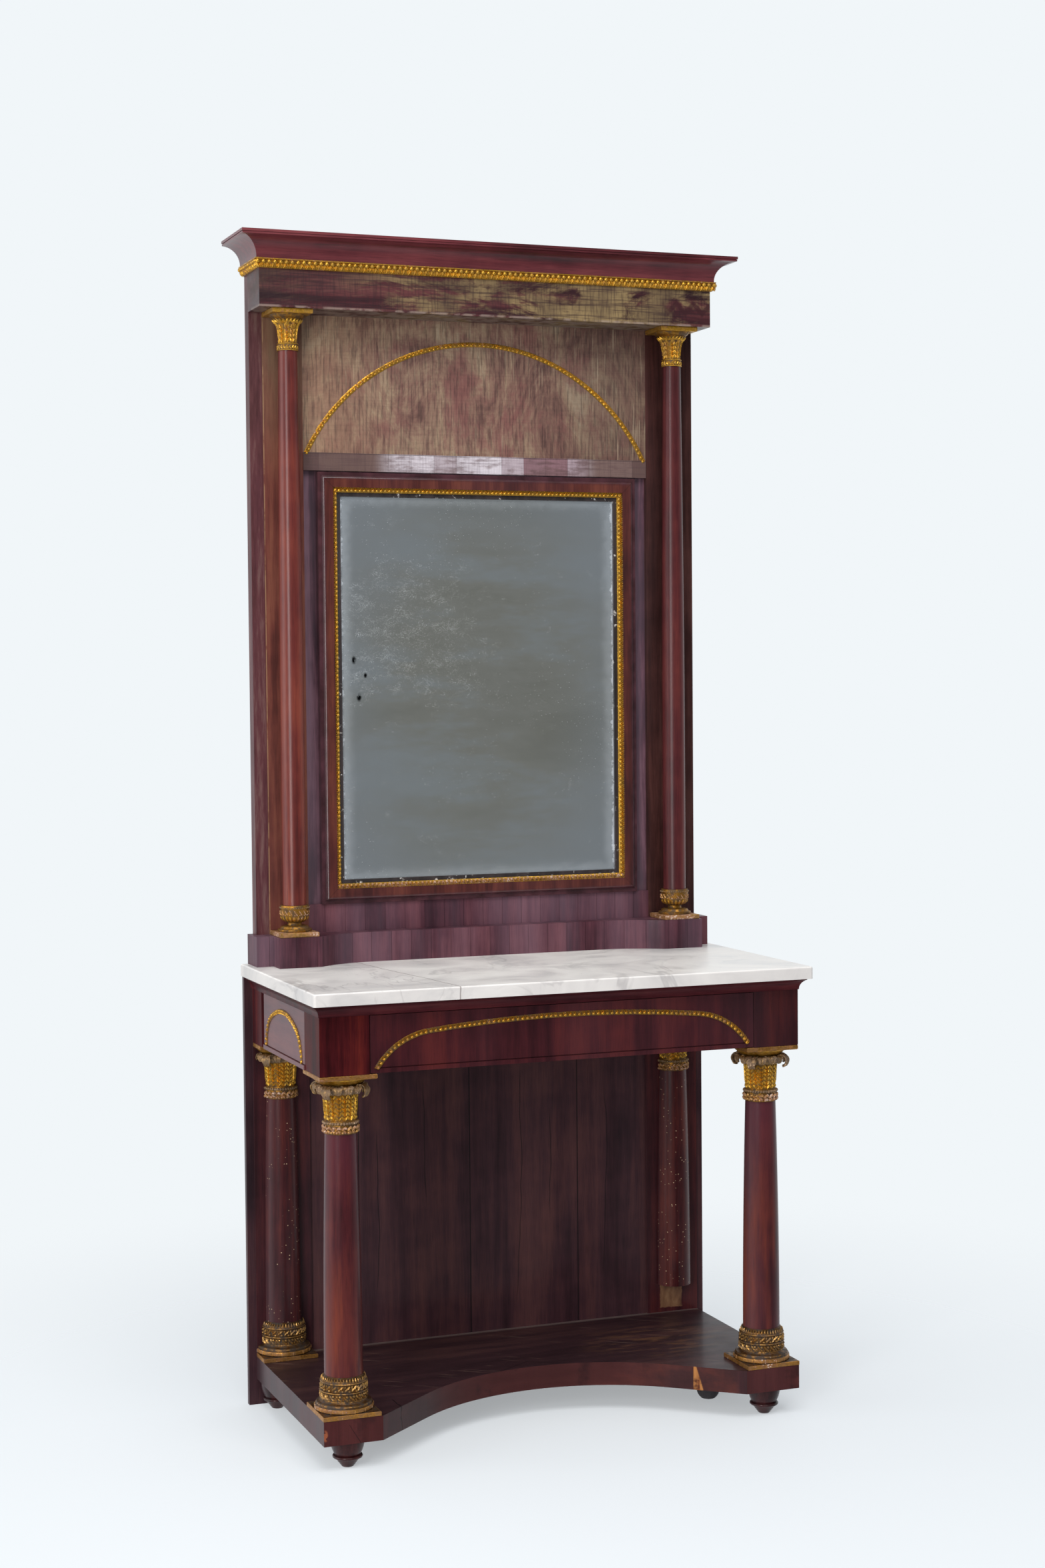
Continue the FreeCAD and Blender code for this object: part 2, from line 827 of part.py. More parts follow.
def make_top():
    """Cavetto under the marble, the rail behind it, and the marble slab."""
    cove = S.top_moulding_projection
    rise = S.top_moulding_height - S.top_moulding_fillet
    mitred_moulding("top_moulding", frieze_side, frieze_front, board_front, frieze_top, [
        (-S.top_moulding_width, 0),
        (0, 0),
        (S.cavetto_foot, 0, S.cavetto_radius),
        (cove, rise),
        (cove, S.top_moulding_height),
        (-S.top_moulding_width, S.top_moulding_height),
    ])
    inner = frieze_side - S.top_moulding_width
    rail_front = frieze_front + S.top_moulding_width
    board("top_rail", (-inner, inner), (rail_front, rail_front + S.top_rail_depth),
          (frieze_top, marble_bottom))
    body = new_body("marble_top")
    sketch = sketch_on(body, "XY_Plane")
    half = S.marble_width / 2
    draw(sketch, rectangle((-half, half), (marble_front, back)))
    slab = pad(body, sketch, S.marble_thickness)
    rounded = round_edges(
        body, slab, S.marble_corner_radius,
        lambda edge, middle: close(middle.y, marble_front) and close(abs(middle.x), half))
    round_edges(
        body, rounded, S.marble_eased_edge,
        lambda edge, middle: close(middle.z, S.marble_thickness) and not close(middle.y, back))
    place(body, z=marble_bottom)


# ---------------------------------------------------------------- drawer

def make_drawer():
    """The drawer hidden in the frieze: it has no knob and is drawn by the lip under its front."""
    half = post_inner - S.drawer_gap
    back_of_front = frieze_front + S.drawer_front_thickness
    front = new_body("drawer_front")
    face = sketch_on(front, "XZ_Plane", -back_of_front)
    low = frieze_bottom + S.drawer_gap
    draw(face, rectangle((-half, half), (low, frieze_top - S.drawer_gap)))
    pad(front, face, S.drawer_front_thickness)
    lip_half = half - S.lip_inset
    lip_top = low + S.lip_height
    groove = sketch_on(front, "XZ_Plane", -frieze_front)
    draw(groove, rectangle((-lip_half, lip_half), (lip_top, lip_top + S.lip_groove)))
    pocket(front, groove, S.lip_groove_depth)
    lip = sketch_on(front, "XZ_Plane", -frieze_front)
    draw(lip, rectangle((-lip_half, lip_half), (low, lip_top)))
    pad(front, lip, S.lip_projection)

    side_outer = half - S.drawer_side_gap
    side_inner = side_outer - S.drawer_side_thickness
    drawer_back = back_of_front + S.drawer_depth
    side_bottom = frieze_bottom + S.drawer_side_inset
    bottom_top = side_bottom + S.drawer_bottom_lift + S.drawer_bottom_thickness
    for side in (LEFT, RIGHT):
        board(f"drawer_side_{SIDE_NAMES[side]}", sided(side, side_inner, side_outer),
              (back_of_front, drawer_back), (side_bottom, side_bottom + S.drawer_side_height))
    board("drawer_bottom", (-side_inner, side_inner), (back_of_front, drawer_back),
          (side_bottom + S.drawer_bottom_lift, bottom_top))
    board("drawer_back", (-side_inner, side_inner),
          (drawer_back - S.drawer_back_thickness, drawer_back),
          (bottom_top, side_bottom + S.drawer_side_height))

    shape = (S.front_arch_rise, half - S.front_arch_shoulder_inset, S.front_arch_shoulder_drop,
             S.front_arch_end_radius)
    arch = arch_band("drawer_arch", "XZ_Plane", S.arch_relief, arch_edge(as_size(0), *shape),
                     arch_edge(S.arch_band, *shape))
    place(arch, 0, frieze_front, frieze_bottom + S.arch_foot_lift)


def make_runners():
    """The ledges inside the carcass that the drawer sides slide on."""
    top = frieze_bottom + S.drawer_side_inset - S.runner_clearance
    liner = frieze_side - S.side_face_thickness - S.side_liner_thickness
    inner = post_inner - S.drawer_gap - S.drawer_side_thickness - S.runner_overlap
    ledges = []
    for side in (LEFT, RIGHT):
        ledges.append(board(f"runner_{SIDE_NAMES[side]}", sided(side, inner, liner),
                            (front_post_back, rear_post_front),
                            (top - S.runner_thickness, top), keep=False))
    pair = doc.addObject("Part::Compound", "drawer_runners")
    pair.Label = "drawer_runners"
    pair.Links = ledges
    pieces.append(pair)


def make_side_arch(side):
    face_end = rear_post_front - S.side_gap
    half = (face_end - front_post_back) / 2
    shape = (S.side_arch_rise, half - S.side_arch_shoulder_inset, S.side_arch_shoulder_drop,
             S.side_arch_end_radius)
    arch = arch_band(f"side_arch_{SIDE_NAMES[side]}", "YZ_Plane", S.arch_relief,
                     arch_edge(as_size(0), *shape), arch_edge(S.arch_band, *shape))
    x = frieze_side if side == RIGHT else -frieze_side - S.arch_relief
    place(arch, x, front_post_back + half, frieze_bottom + S.arch_foot_lift)


# ---------------------------------------------------------------- pier glass

def make_glass_base():
    """The low base on the marble: its front sweeps forward to a block under each column."""
    body = new_body("mirror_base")
    sketch = sketch_on(body, "XY_Plane")
    end = glass_base_side
    block_outer = block_inner + S.block_width
    wing = block_inner - S.base_wing_width
    sweep = S.block_projection
    radius = (S.base_wing_width * S.base_wing_width + sweep * sweep) / (2 * sweep)
    draw(sketch, [
        (-end, back),
        (-end, glass_base_front),
        (-block_outer, glass_base_front),
        (-block_outer, block_front),
        (-block_inner, block_front, -radius),
        (-wing, glass_base_front),
        (wing, glass_base_front, -radius),
        (block_inner, block_front),
        (block_outer, block_front),
        (block_outer, glass_base_front),
        (end, glass_base_front),
        (end, back),
    ])
    pad(body, sketch, S.glass_base_height)
    place(body, z=S.table_height)


def make_stile(side):
    """An upright of the back, with a step down along its outer edge."""
    body = new_body(f"stile_{SIDE_NAMES[side]}")
    sketch = sketch_on(body, "XY_Plane")
    step = backboard_side - S.stile_rebate_width
    stepped = backboard_front + S.stile_rebate_depth
    outline = [
        (bay_half, backboard_front),
        (step, backboard_front),
        (step, stepped),
        (backboard_side, stepped),
        (backboard_side, back),
        (bay_half, back),
    ]
    if side == LEFT:
        outline = [(-across, deep) for across, deep in outline]
    draw(sketch, outline)
    pad(body, sketch, backboard_top - glass_base_top)
    place(body, z=glass_base_top)


def make_backboard():
    for side in (LEFT, RIGHT):
        make_stile(side)
    board("bottom_rail", (-bay_half, bay_half), (backboard_front, back),
          (glass_base_top, frame_bottom))
    panel = new_body("tympanum_panel")
    section = sketch_on(panel, "YZ_Plane", -bay_half)
    rear = backboard_front + S.panel_thickness
    proud = backboard_front - S.crossband_projection
    band_top = bay_top + S.crossband_height
    draw(section, [
        (proud, bay_top),
        (rear, bay_top),
        (rear, backboard_top),
        (backboard_front, backboard_top),
        (backboard_front, band_top),
        (proud, band_top),
    ])
    pad(panel, section, bay_half * 2)
    board("mirror_backing", (-bay_half, bay_half), (bay_plane, bay_plane + S.backing_thickness),
          (frame_bottom, bay_top))


def make_ring(label, half, low, high, member, rear, thickness):
    """A flat rectangular ring in front of the glass."""
    body = new_body(label)
    sketch = sketch_on(body, "XZ_Plane", -rear)
    draw(sketch, rectangle((-half, half), (low, high)))
    draw(sketch, rectangle((member - half, half - member), (low + member, high - member)))
    pad(body, sketch, thickness)


def make_mirror():
    """Ovolo frame, gilt sight edge and glass, in the shallow bay between the stiles."""
    half = bay_half - S.frame_side_gap
    top = bay_top - S.frame_top_gap
    frame = new_body("mirror_frame")
    sight_half = half - S.frame_member
    opening = rectangle((-sight_half, sight_half),
                        (frame_bottom + S.frame_member, top - S.frame_member))
    flat = sketch_on(frame, "XZ_Plane", -bay_plane)
    draw(flat, rectangle((-half, half), (frame_bottom, top)))
    draw(flat, opening)
    pad(frame, flat, S.frame_thickness)
    raised = sketch_on(frame, "XZ_Plane", S.frame_thickness - bay_plane)
    rim = S.frame_rim
    draw(raised, rectangle((rim - half, half - rim), (frame_bottom + rim, top - rim)))
    draw(raised, opening)
    ovolo = pad(frame, raised, S.frame_ovolo)
    face = bay_plane - S.frame_thickness - S.frame_ovolo
    round_edges(frame, ovolo, S.frame_ovolo_radius,
                lambda edge, middle: close(middle.y, face)
                and (close(abs(middle.x), half - rim) or close(middle.z, frame_bottom + rim)
                     or close(middle.z, top - rim)))

    glass_plane = bay_plane - S.glass_thickness
    low = frame_bottom + S.frame_member
    high = top - S.frame_member
    make_ring("sight_edge", sight_half, low, high, S.sight_member, glass_plane, S.sight_thickness)
    inset = S.sight_member
    make_ring("mirror_slip", sight_half - inset, low + inset, high - inset, S.slip_member,
              glass_plane, S.slip_thickness)
    board("mirror_glass", (-sight_half, sight_half), (glass_plane, bay_plane), (low, high))


def make_slender_columns():
    for side in (LEFT, RIGHT):
        name = SIDE_NAMES[side]
        x = block_axis * side
        base = new_body(f"slender_base_{name}")
        disc = S.slender_plinth_thickness
        neck = disc + S.slender_disc_height
        cup = neck + S.slender_neck_height
        cup_top = cup + S.slender_cup_height
        half_disc = S.slender_disc_height / 2
        turn(base, [
            (0, disc),
            (S.slender_disc_radius - half_disc, disc, S.slender_disc_height * NEARLY_HALF_ROUND),
            (S.slender_disc_radius - half_disc, neck),
            (S.slender_neck_radius, neck),
            (S.slender_neck_radius, cup),
            (S.slender_cup_foot, cup, S.slender_cup_curve),
            (S.slender_cup_radius, cup_top - S.slender_cup_lip),
            (S.slender_cup_mouth, cup_top),
            (0, cup_top),
        ])
        plinth = sketch_on(base, "XY_Plane")
        half = S.slender_plinth_side / 2
        draw(plinth, rectangle((-half, half), (-half, half)))
        pad(base, plinth, S.slender_plinth_thickness)
        place(base, x, slender_y, glass_base_top)
        make_shaft(f"slender_column_{name}", x, slender_y, slender_shaft_bottom, slender_shaft_top,
                   S.slender_low_radius, S.slender_top_radius, S.slender_entasis_radius)
        make_slender_capital(f"slender_capital_{name}", x)


def make_slender_capital(label, x):
    """Ring, trumpet-shaped bell with a small lip, and a square abacus."""
    body = new_body(label)
    ring = S.slender_ring_height
    abacus_level = S.slender_capital_height - S.slender_abacus_thickness
    lip = abacus_level - S.slender_lip_height
    turn(body, [
        (0, 0),
        (S.slender_ring_radius, 0, S.slender_ring_bulge),
        (S.slender_ring_radius, ring),
        (S.slender_bell_low_radius, ring, -S.slender_bell_curve),
        (S.slender_bell_top_radius - S.slender_bell_step, lip),
        (S.slender_bell_top_radius, lip),
        (S.slender_bell_top_radius, abacus_level),
        (0, abacus_level),
    ])
    top = sketch_on(body, "XY_Plane", abacus_level)
    half = S.slender_abacus_side / 2
    draw(top, rectangle((-half, half), (-half, half)))
    pad(body, top, S.slender_abacus_thickness)
    place(body, x, slender_y, slender_shaft_top)


def make_entablature():
    """The frieze box over the columns, open on top, its leaf moulding and the cove cornice."""
    half = backboard_side + S.box_overhang
    inner = half - S.box_board
    box_top = backboard_top
    body = new_body("frieze_box")
    sketch = sketch_on(body, "XY_Plane")
    draw(sketch, rectangle((-half, half), (box_front, backboard_front)))
    pad(body, sketch, box_top - box_bottom)
    hollow = sketch_on(body, "XY_Plane", box_top - box_bottom)
    draw(hollow, rectangle((-inner, inner), (box_front + S.box_board, backboard_front - S.box_board)))
    pocket(body, hollow, box_top - box_bottom - S.box_board)
    place(body, z=box_bottom)

    leaf = S.leaf_height
    top = S.cornice_height
    fillet = top - S.cornice_fillet
    cove_low = leaf + S.cove_rise
    cove_out = S.cove_step + S.cove_width
    groove = fillet + S.cornice_bead_height
    mitred_moulding("cornice", half, box_front, back, box_top, [
        (-S.box_board, 0),
        (0, 0),
        (0, leaf),
        (S.cove_step, leaf),
        (S.cove_step, cove_low, S.cove_radius),
        (cove_out, fillet),
        (cove_out + S.cornice_bead_step, fillet),
        (cove_out + S.cornice_bead_step, groove),
        (cove_out, groove),
        (cove_out, groove + S.cornice_groove),
        (cove_out + S.cornice_fillet_step, groove + S.cornice_groove),
        (cove_out + S.cornice_fillet_step, top),
        (-S.box_board, top),
    ])
    mitred_moulding("leaf_moulding", half, box_front, back, box_top, [
        (0, 0),
        (S.leaf_low_projection, 0),
        (S.leaf_top_projection, leaf - S.leaf_lip),
        (S.leaf_top_projection, leaf),
        (S.cove_step, leaf),
        (0, leaf),
    ])


def make_tympanum_arch():
    span = bay_half - S.tympanum_span_inset
    rise = S.tympanum_rise
    radius = (span * span + rise * rise) / (2 * rise)
    centre = rise - radius
    inner_radius = radius - S.tympanum_band
    inner_span = root(inner_radius * inner_radius - centre * centre)
    arch = new_body("tympanum_arch")
    sketch = sketch_on(arch, "XZ_Plane")
    crown = radius + centre
    inner_crown = inner_radius + centre
    draw(sketch, [
        (span, 0, radius),
        (0, crown, radius),
        (-span, 0),
        (-inner_span, 0, -inner_radius),
        (0, inner_crown, -inner_radius),
        (inner_span, 0),
    ])
    pad(arch, sketch, S.tympanum_relief)
    place(arch, 0, backboard_front, bay_top + S.crossband_height)


make_platform()
make_feet()
make_bun_feet()
make_console_columns()
make_back()
make_posts()
for hand in (LEFT, RIGHT):
    make_side_rail(hand)
    make_side_arch(hand)
make_top()
make_drawer()
make_runners()
make_glass_base()
make_backboard()
make_mirror()
make_slender_columns()
make_entablature()
make_tympanum_arch()

doc.recompute()

# ---------------------------------------------------------------- checks and files

for item in doc.Objects:
    if "Invalid" in item.State or "Error" in item.State:
        raise RuntimeError(f"{item.Label} did not rebuild: {item.State}")
for piece in pieces:
    if piece.Shape.isNull() or not piece.Shape.isValid():
        raise RuntimeError(f"{piece.Label} is not a valid solid")
for piece in pieces:
    piece.Shape.exportStep(f"parts/{piece.Label}.step")
    size = piece.Shape.BoundBox
    print(f"{piece.Label:24s} solids {len(piece.Shape.Solids)}  "
          f"{size.XLength:7.1f} x {size.YLength:7.1f} x {size.ZLength:7.1f} mm")
print(len(pieces), "pieces")
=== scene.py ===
# %% [markdown]
# # A console table and its tall looking glass
#
# The real object is a mahogany console with a marble top, and a pier glass that stands on the
# marble between two slender columns. Joinery is already solid and in place: it is loaded as a
# fixed frame. This lesson adds what a joiner hands over to the carver, the gilder and the
# polisher: carved capitals and bases, gilt mouldings, and the finish of every surface.
#
# Everything is in metres, X to the right, Y to the back and Z up. Carved work is drawn in
# millimetres, as a carver would measure it, and turned into metres when a piece is made.

# %% Load the frame
import math

import bmesh
import bpy
from mathutils import Matrix, Vector


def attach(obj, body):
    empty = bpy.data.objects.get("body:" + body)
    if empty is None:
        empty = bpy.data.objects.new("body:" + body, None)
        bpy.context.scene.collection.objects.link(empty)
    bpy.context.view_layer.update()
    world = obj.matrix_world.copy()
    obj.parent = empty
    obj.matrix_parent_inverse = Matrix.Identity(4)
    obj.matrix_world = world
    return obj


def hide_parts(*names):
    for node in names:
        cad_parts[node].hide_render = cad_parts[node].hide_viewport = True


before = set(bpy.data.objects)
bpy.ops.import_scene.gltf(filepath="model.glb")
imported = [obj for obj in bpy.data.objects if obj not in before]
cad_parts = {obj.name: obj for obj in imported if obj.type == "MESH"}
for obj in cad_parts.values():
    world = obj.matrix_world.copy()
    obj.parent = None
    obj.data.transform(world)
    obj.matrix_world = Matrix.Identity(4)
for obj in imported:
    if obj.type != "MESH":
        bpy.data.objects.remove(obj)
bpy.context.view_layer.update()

# %% [markdown]
# ## How a finish is mixed
#
# A finish is a node material. Writing each node by hand hides the recipe, so a small class keeps
# one material open and has one call per ingredient. Patterns are read from Object coordinates:
# every piece sits at the origin with its place in its mesh, so one metre in the pattern is one
# metre on the object, and a pattern runs on from one piece to its neighbour.

# %% The finish mixer
def tone(red, green, blue):
    """A display colour, 0 to 255, as the linear colour that a shader wants."""
    levels = []
    for level in (red, green, blue):
        part = level / 255
        levels.append(part / 12.92 if part <= 0.04045 else ((part + 0.055) / 1.055) ** 2.4)
    return (*levels, 1.0)


class Finish:
    """A material being mixed. Each call adds a node and gives back its output."""

    def __init__(self, name):
        self.material = bpy.data.materials.new(name)
        self.material.use_nodes = True
        self.tree = self.material.node_tree
        self.shader = self.tree.nodes["Principled BSDF"]
        self.place = self.node("ShaderNodeTexCoord").outputs["Object"]

    def node(self, kind, **settings):
        node = self.tree.nodes.new(kind)
        for name, value in settings.items():
            setattr(node, name, value)
        return node

    def feed(self, socket, value):
        if isinstance(value, bpy.types.NodeSocket):
            self.tree.links.new(value, socket)
        else:
            socket.default_value = value

    def stretch(self, by, at=None):
        """The coordinates scaled along each axis: a small number draws a pattern out."""
        node = self.node("ShaderNodeVectorMath", operation="MULTIPLY")
        self.feed(node.inputs[0], self.place if at is None else at)
        node.inputs[1].default_value = by
        return node.outputs[0]

    def axis(self, name, at=None):
        node = self.node("ShaderNodeSeparateXYZ")
        self.feed(node.inputs[0], self.place if at is None else at)
        return node.outputs[name]

    def cloud(self, scale, at=None, detail=4.0, rough=0.55, bend=0.0):
        """Noise, mostly between a quarter and three quarters. bend warps it."""
        node = self.node("ShaderNodeTexNoise")
        self.feed(node.inputs["Vector"], self.place if at is None else at)
        node.inputs["Scale"].default_value = scale
        node.inputs["Detail"].default_value = detail
        node.inputs["Roughness"].default_value = rough
        node.inputs["Distortion"].default_value = bend
        return node.outputs["Fac"]

    def cells(self, scale):
        """Distance to the nearest of many scattered points, so a low span of it draws dots."""
        node = self.node("ShaderNodeTexVoronoi", feature="F1")
        self.feed(node.inputs["Vector"], self.place)
        node.inputs["Scale"].default_value = scale
        return node.outputs["Distance"]

    def chance(self, at):
        """A random value for each place. With snapped places, one for each cell."""
        node = self.node("ShaderNodeTexWhiteNoise")
        self.feed(node.inputs["Vector"], at)
        return node.outputs["Value"]

    def snap(self, step):
        """The coordinates rounded down to steps."""
        node = self.node("ShaderNodeVectorMath", operation="SNAP")
        self.feed(node.inputs[0], self.place)
        node.inputs[1].default_value = step
        return node.outputs[0]

    def work(self, operation, first, second=0.0, clamp=False):
        node = self.node("ShaderNodeMath", operation=operation, use_clamp=clamp)
        self.feed(node.inputs[0], first)
        self.feed(node.inputs[1], second)
        return node.outputs[0]

    def plus(self, first, second):
        return self.work("ADD", first, second)

    def minus(self, first, second, clamp=False):
        return self.work("SUBTRACT", first, second, clamp)

    def times(self, first, second):
        return self.work("MULTIPLY", first, second)

    def least(self, first, second):
        return self.work("MINIMUM", first, second)

    def most(self, first, second):
        return self.work("MAXIMUM", first, second)

    def off(self, value, mark=0.0):
        """How far a value is from a mark, on either side of it."""
        return self.work("ABSOLUTE", self.minus(value, mark) if mark != 0.0 else value)

    def span(self, value, low, high, to_low=0.0, to_high=1.0):
        """to_low below low, to_high above high, and a smooth change between."""
        node = self.node("ShaderNodeMapRange", interpolation_type="SMOOTHSTEP")
        self.feed(node.inputs["Value"], value)
        node.inputs["From Min"].default_value = low
        node.inputs["From Max"].default_value = high
        node.inputs["To Min"].default_value = to_low
        node.inputs["To Max"].default_value = to_high
        return node.outputs["Result"]

    def line(self, value, mark, width, strength=1.0):
        """A soft line where a value passes a mark."""
        return self.span(self.off(value, mark), 0.0, width, strength, 0.0)

    def joints(self, value, pitch, width, strength):
        """Soft lines at every pitch along a value. width is a share of the pitch."""
        step = self.work("FRACT", self.work("DIVIDE", value, pitch))
        return self.span(self.least(step, self.minus(1.0, step)), 0.0, width, strength, 0.0)

    def tones(self, value, *stops):
        """A colour ramp. Each stop is (position, display colour)."""
        node = self.node("ShaderNodeValToRGB")
        ramp = node.color_ramp
        for element, (position, colour) in zip(ramp.elements, (stops[0], stops[-1])):
            element.position = position
            element.color = tone(*colour)
        for position, colour in stops[1:-1]:
            ramp.elements.new(position).color = tone(*colour)
        self.feed(node.inputs["Fac"], value)
        return node.outputs["Color"]

    def colour(self, socket, value):
        """Feeds a colour, which is a node's output or a display colour."""
        self.feed(socket, value if isinstance(value, bpy.types.NodeSocket) else tone(*value))

    def mix(self, amount, first, second):
        """The first colour at an amount of 0, the second at 1."""
        node = self.node("ShaderNodeMix", data_type="RGBA", blend_type="MIX")
        self.feed(node.inputs["Factor"], amount)
        from_colour, to_colour = [s for s in node.inputs if s.type == "RGBA"]
        self.colour(from_colour, first)
        self.colour(to_colour, second)
        return next(s for s in node.outputs if s.type == "RGBA")

    def within(self, centre, reach, edge=0.25):
        """1 inside an ellipsoid and 0 outside. edge is the fade's half width, as a share of reach."""
        node = self.node("ShaderNodeVectorMath", operation="SUBTRACT")
        self.feed(node.inputs[0], self.place)
        node.inputs[1].default_value = centre
        scaled = self.stretch([1 / r for r in reach], node.outputs[0])
        length = self.node("ShaderNodeVectorMath", operation="LENGTH")
        self.feed(length.inputs[0], scaled)
        return self.span(length.outputs["Value"], 1 - edge, 1 + edge, 1.0, 0.0)

    def inset(self, outline):
        """How far inside an upright rectangle a point lies: from its sides, and from its ends."""
        (middle_x, middle_z), (half_x, half_z) = outline
        return (self.minus(half_x, self.off(self.axis("X"), middle_x)),
                self.minus(half_z, self.off(self.axis("Z"), middle_z)))

    def facing(self, name):
        """How far the surface faces along an axis, from -1 to 1."""
        node = self.node("ShaderNodeNewGeometry")
        return self.axis(name, node.outputs["Normal"])

    def done(self, colour, roughness=0.5, metallic=0.0, height=None, depth=0.0005, **shader):
        """Feeds the shader. height is a relief that is only lit, and depth its size in metres."""
        self.colour(self.shader.inputs["Base Color"], colour)
        self.feed(self.shader.inputs["Roughness"], roughness)
        self.feed(self.shader.inputs["Metallic"], metallic)
        if height is not None:
            bump = self.node("ShaderNodeBump")
            bump.inputs["Distance"].default_value = depth
            bump.inputs["Strength"].default_value = 0.8
            self.feed(bump.inputs["Height"], height)
            self.feed(self.shader.inputs["Normal"], bump.outputs["Normal"])
        for name, value in shader.items():
            self.shader.inputs[name.replace("_", " ")].default_value = value
        return self.material


finishes = {}
print("a finish reads", Finish("trial").place.name, "coordinates")
bpy.data.materials.remove(bpy.data.materials["trial"])

# %% [markdown]
# ## Mahogany
#
# Nearly all that shows is mahogany veneer, polished, darkened and bleached by two centuries. Its
# figure is a noise drawn out along the grain with finer streaks over it, in three tones, and a
# much finer noise makes the pores. Where a strip is crossbanded, which means that short leaves of
# veneer stand side by side, each leaf gets its own tone and a thin dark joint. An old polish is
# never even, so haze goes grey and rougher in patches; where its tone is pale lilac, the haze is
# also a painted sheen. The side towards the window is painted paler and greyer than the front, as
# the sheen of the window light on it. Polish is a clear coat over the wood, with its own dullness.
# The wood under it hardly shines at all, or every side seen at a glance would turn grey.

# %% One recipe for every veneer
JOINT_SHADE, WINDOW_SHEEN_GREY = (24, 14, 16), (126, 114, 118)


def drawn_along(axis, amount):
    """A stretch that draws a pattern out along one axis."""
    return tuple(amount if name == axis else 1 for name in "XYZ")


def leaf_joints(f, colour, leaf):
    """Dark joints between leaves of veneer, on the faces across which the leaves follow."""
    for edge in ("X", "Y"):
        joint = f.joints(f.axis(edge), leaf, 0.022, 0.6)
        side = f.span(f.off(f.facing(edge)), 0.5, 0.7, 1.0, 0.0)
        colour = f.mix(f.times(joint, side), colour, JOINT_SHADE)
    return colour


def veneer(name, tones, along="Z", scale=18.0, leaf=0.0, haze=0.08, haze_and_sheen_tone=(120, 100, 108),
           gloss=0.26, contrast=(0.27, 0.73), extra=None, seed=0.0, window_sheen=0.08, polish=0.12,
           lacquer=1.45, buffed=0.13, bare_shine=0.14):
    """Mahogany veneer. along is the grain's axis and leaf the width of a crossbanded leaf.
    polish is how much coat lies on the wood, lacquer how strongly that coat bends light, buffed
    how dull it is, and bare_shine how much the wood shines under it. extra adds more detail."""
    f = Finish(name)
    drawn = drawn_along(along, 0.055)
    shifted = f.node("ShaderNodeVectorMath", operation="ADD")
    f.feed(shifted.inputs[0], f.place)
    shifted.inputs[1].default_value = (seed, seed * 0.7, seed * 1.3)
    place = shifted.outputs[0]
    figure = f.cloud(scale, f.stretch(drawn, place), detail=6, rough=0.62, bend=0.35)
    streaks = f.cloud(scale * 5, f.stretch(drawn, place), detail=5, rough=0.68)
    pores = f.cloud(1000, f.stretch(drawn_along(along, 0.02), place), detail=2, rough=0.5)
    mottle = f.times(f.minus(f.cloud(9, detail=3), 0.5), 0.3)
    value = f.plus(f.plus(f.times(figure, 0.66), f.times(streaks, 0.34)), mottle)
    if leaf:
        leaf_tone = f.chance(f.snap((leaf, leaf, 5.0)))
        value = f.plus(value, f.times(f.minus(leaf_tone, 0.5), 0.115))
    colour = f.tones(f.span(value, *contrast), (0.0, tones[0]), (0.45, tones[1]), (1.0, tones[2]))
    colour = f.mix(f.span(pores, 0.5, 0.7, 0.0, 0.35), colour, [t * 0.5 for t in tones[0]])
    # Haze: grey bloom of old polish in patches, rougher, and also a painted sheen where its tone is a
    # pale lilac.
    dull = f.span(f.cloud(3.1, f.stretch(drawn), detail=5, rough=0.6), 0.42, 0.72, 0.0, haze)
    colour = f.mix(dull, colour, haze_and_sheen_tone)
    # Painted sheen: faces towards the window (-X) are painted paler and greyer, as the window light
    # on them, and made rougher.
    windowward = f.span(f.facing("X"), -0.98, -0.6, window_sheen, 0.0)
    colour = f.mix(windowward, colour, WINDOW_SHEEN_GREY)
    if leaf:
        colour = leaf_joints(f, colour, leaf)
    rough = f.plus(gloss, f.times(f.plus(dull, f.times(figure, 0.3)), 0.6))
    rough = f.plus(rough, f.times(windowward, 0.3))
    height = f.times(pores, 0.4)
    if extra:
        colour, rough, height = extra(f, colour, rough, height)
    finishes[name] = f.done(colour, rough, height=height, depth=0.0003,
                            Specular_IOR_Level=bare_shine, Coat_Weight=polish,
                            Coat_Roughness=buffed, Coat_IOR=lacquer)


print("grain along Z is stretched by", drawn_along("Z", 0.055))

# %% Cuts of mahogany
veneer("upright_mahogany", ((32, 10, 12), (62, 18, 21), (90, 31, 26)), scale=22, window_sheen=0.0,
       polish=0.05, bare_shine=0.02)
# Painted shade: a darker copy for the right corner post, which stands in the room's shade.
veneer("shaded_upright_mahogany", ((26, 8, 10), (46, 14, 16), (68, 23, 20)), scale=22, seed=2.0,
       bare_shine=0.02)
veneer("shaded_stile_mahogany", ((34, 18, 17), (60, 34, 31), (86, 52, 47)), scale=20, seed=5.0,
       haze=0.3, haze_and_sheen_tone=(122, 104, 108), window_sheen=0.0, bare_shine=0.08)
veneer("moulding_mahogany", ((36, 14, 17), (68, 27, 31), (94, 42, 43)), along="X", haze=0.1,
       window_sheen=0.0, bare_shine=0.02)
veneer("lengthwise_mahogany", ((50, 20, 23), (94, 38, 43), (124, 58, 60)), along="X", haze=0.1,
       gloss=0.24, polish=0.42, window_sheen=0.12)
veneer("return_mahogany", ((50, 20, 24), (90, 44, 44), (116, 64, 58)), along="Y", haze=0.3,
       window_sheen=0.3)
# Part of this pale lilac haze is a painted sheen on the crossbanding.
veneer("crossbanded_mahogany", ((42, 20, 27), (76, 41, 49), (106, 64, 70)), leaf=0.046, haze=0.36,
       haze_and_sheen_tone=(140, 118, 132), window_sheen=0.0, bare_shine=0.03)
veneer("drawer_front_mahogany", ((34, 11, 16), (60, 21, 26), (84, 31, 30)), scale=10, haze=0.05,
       polish=0.25)
print("mahogany in", len(finishes), "cuts")
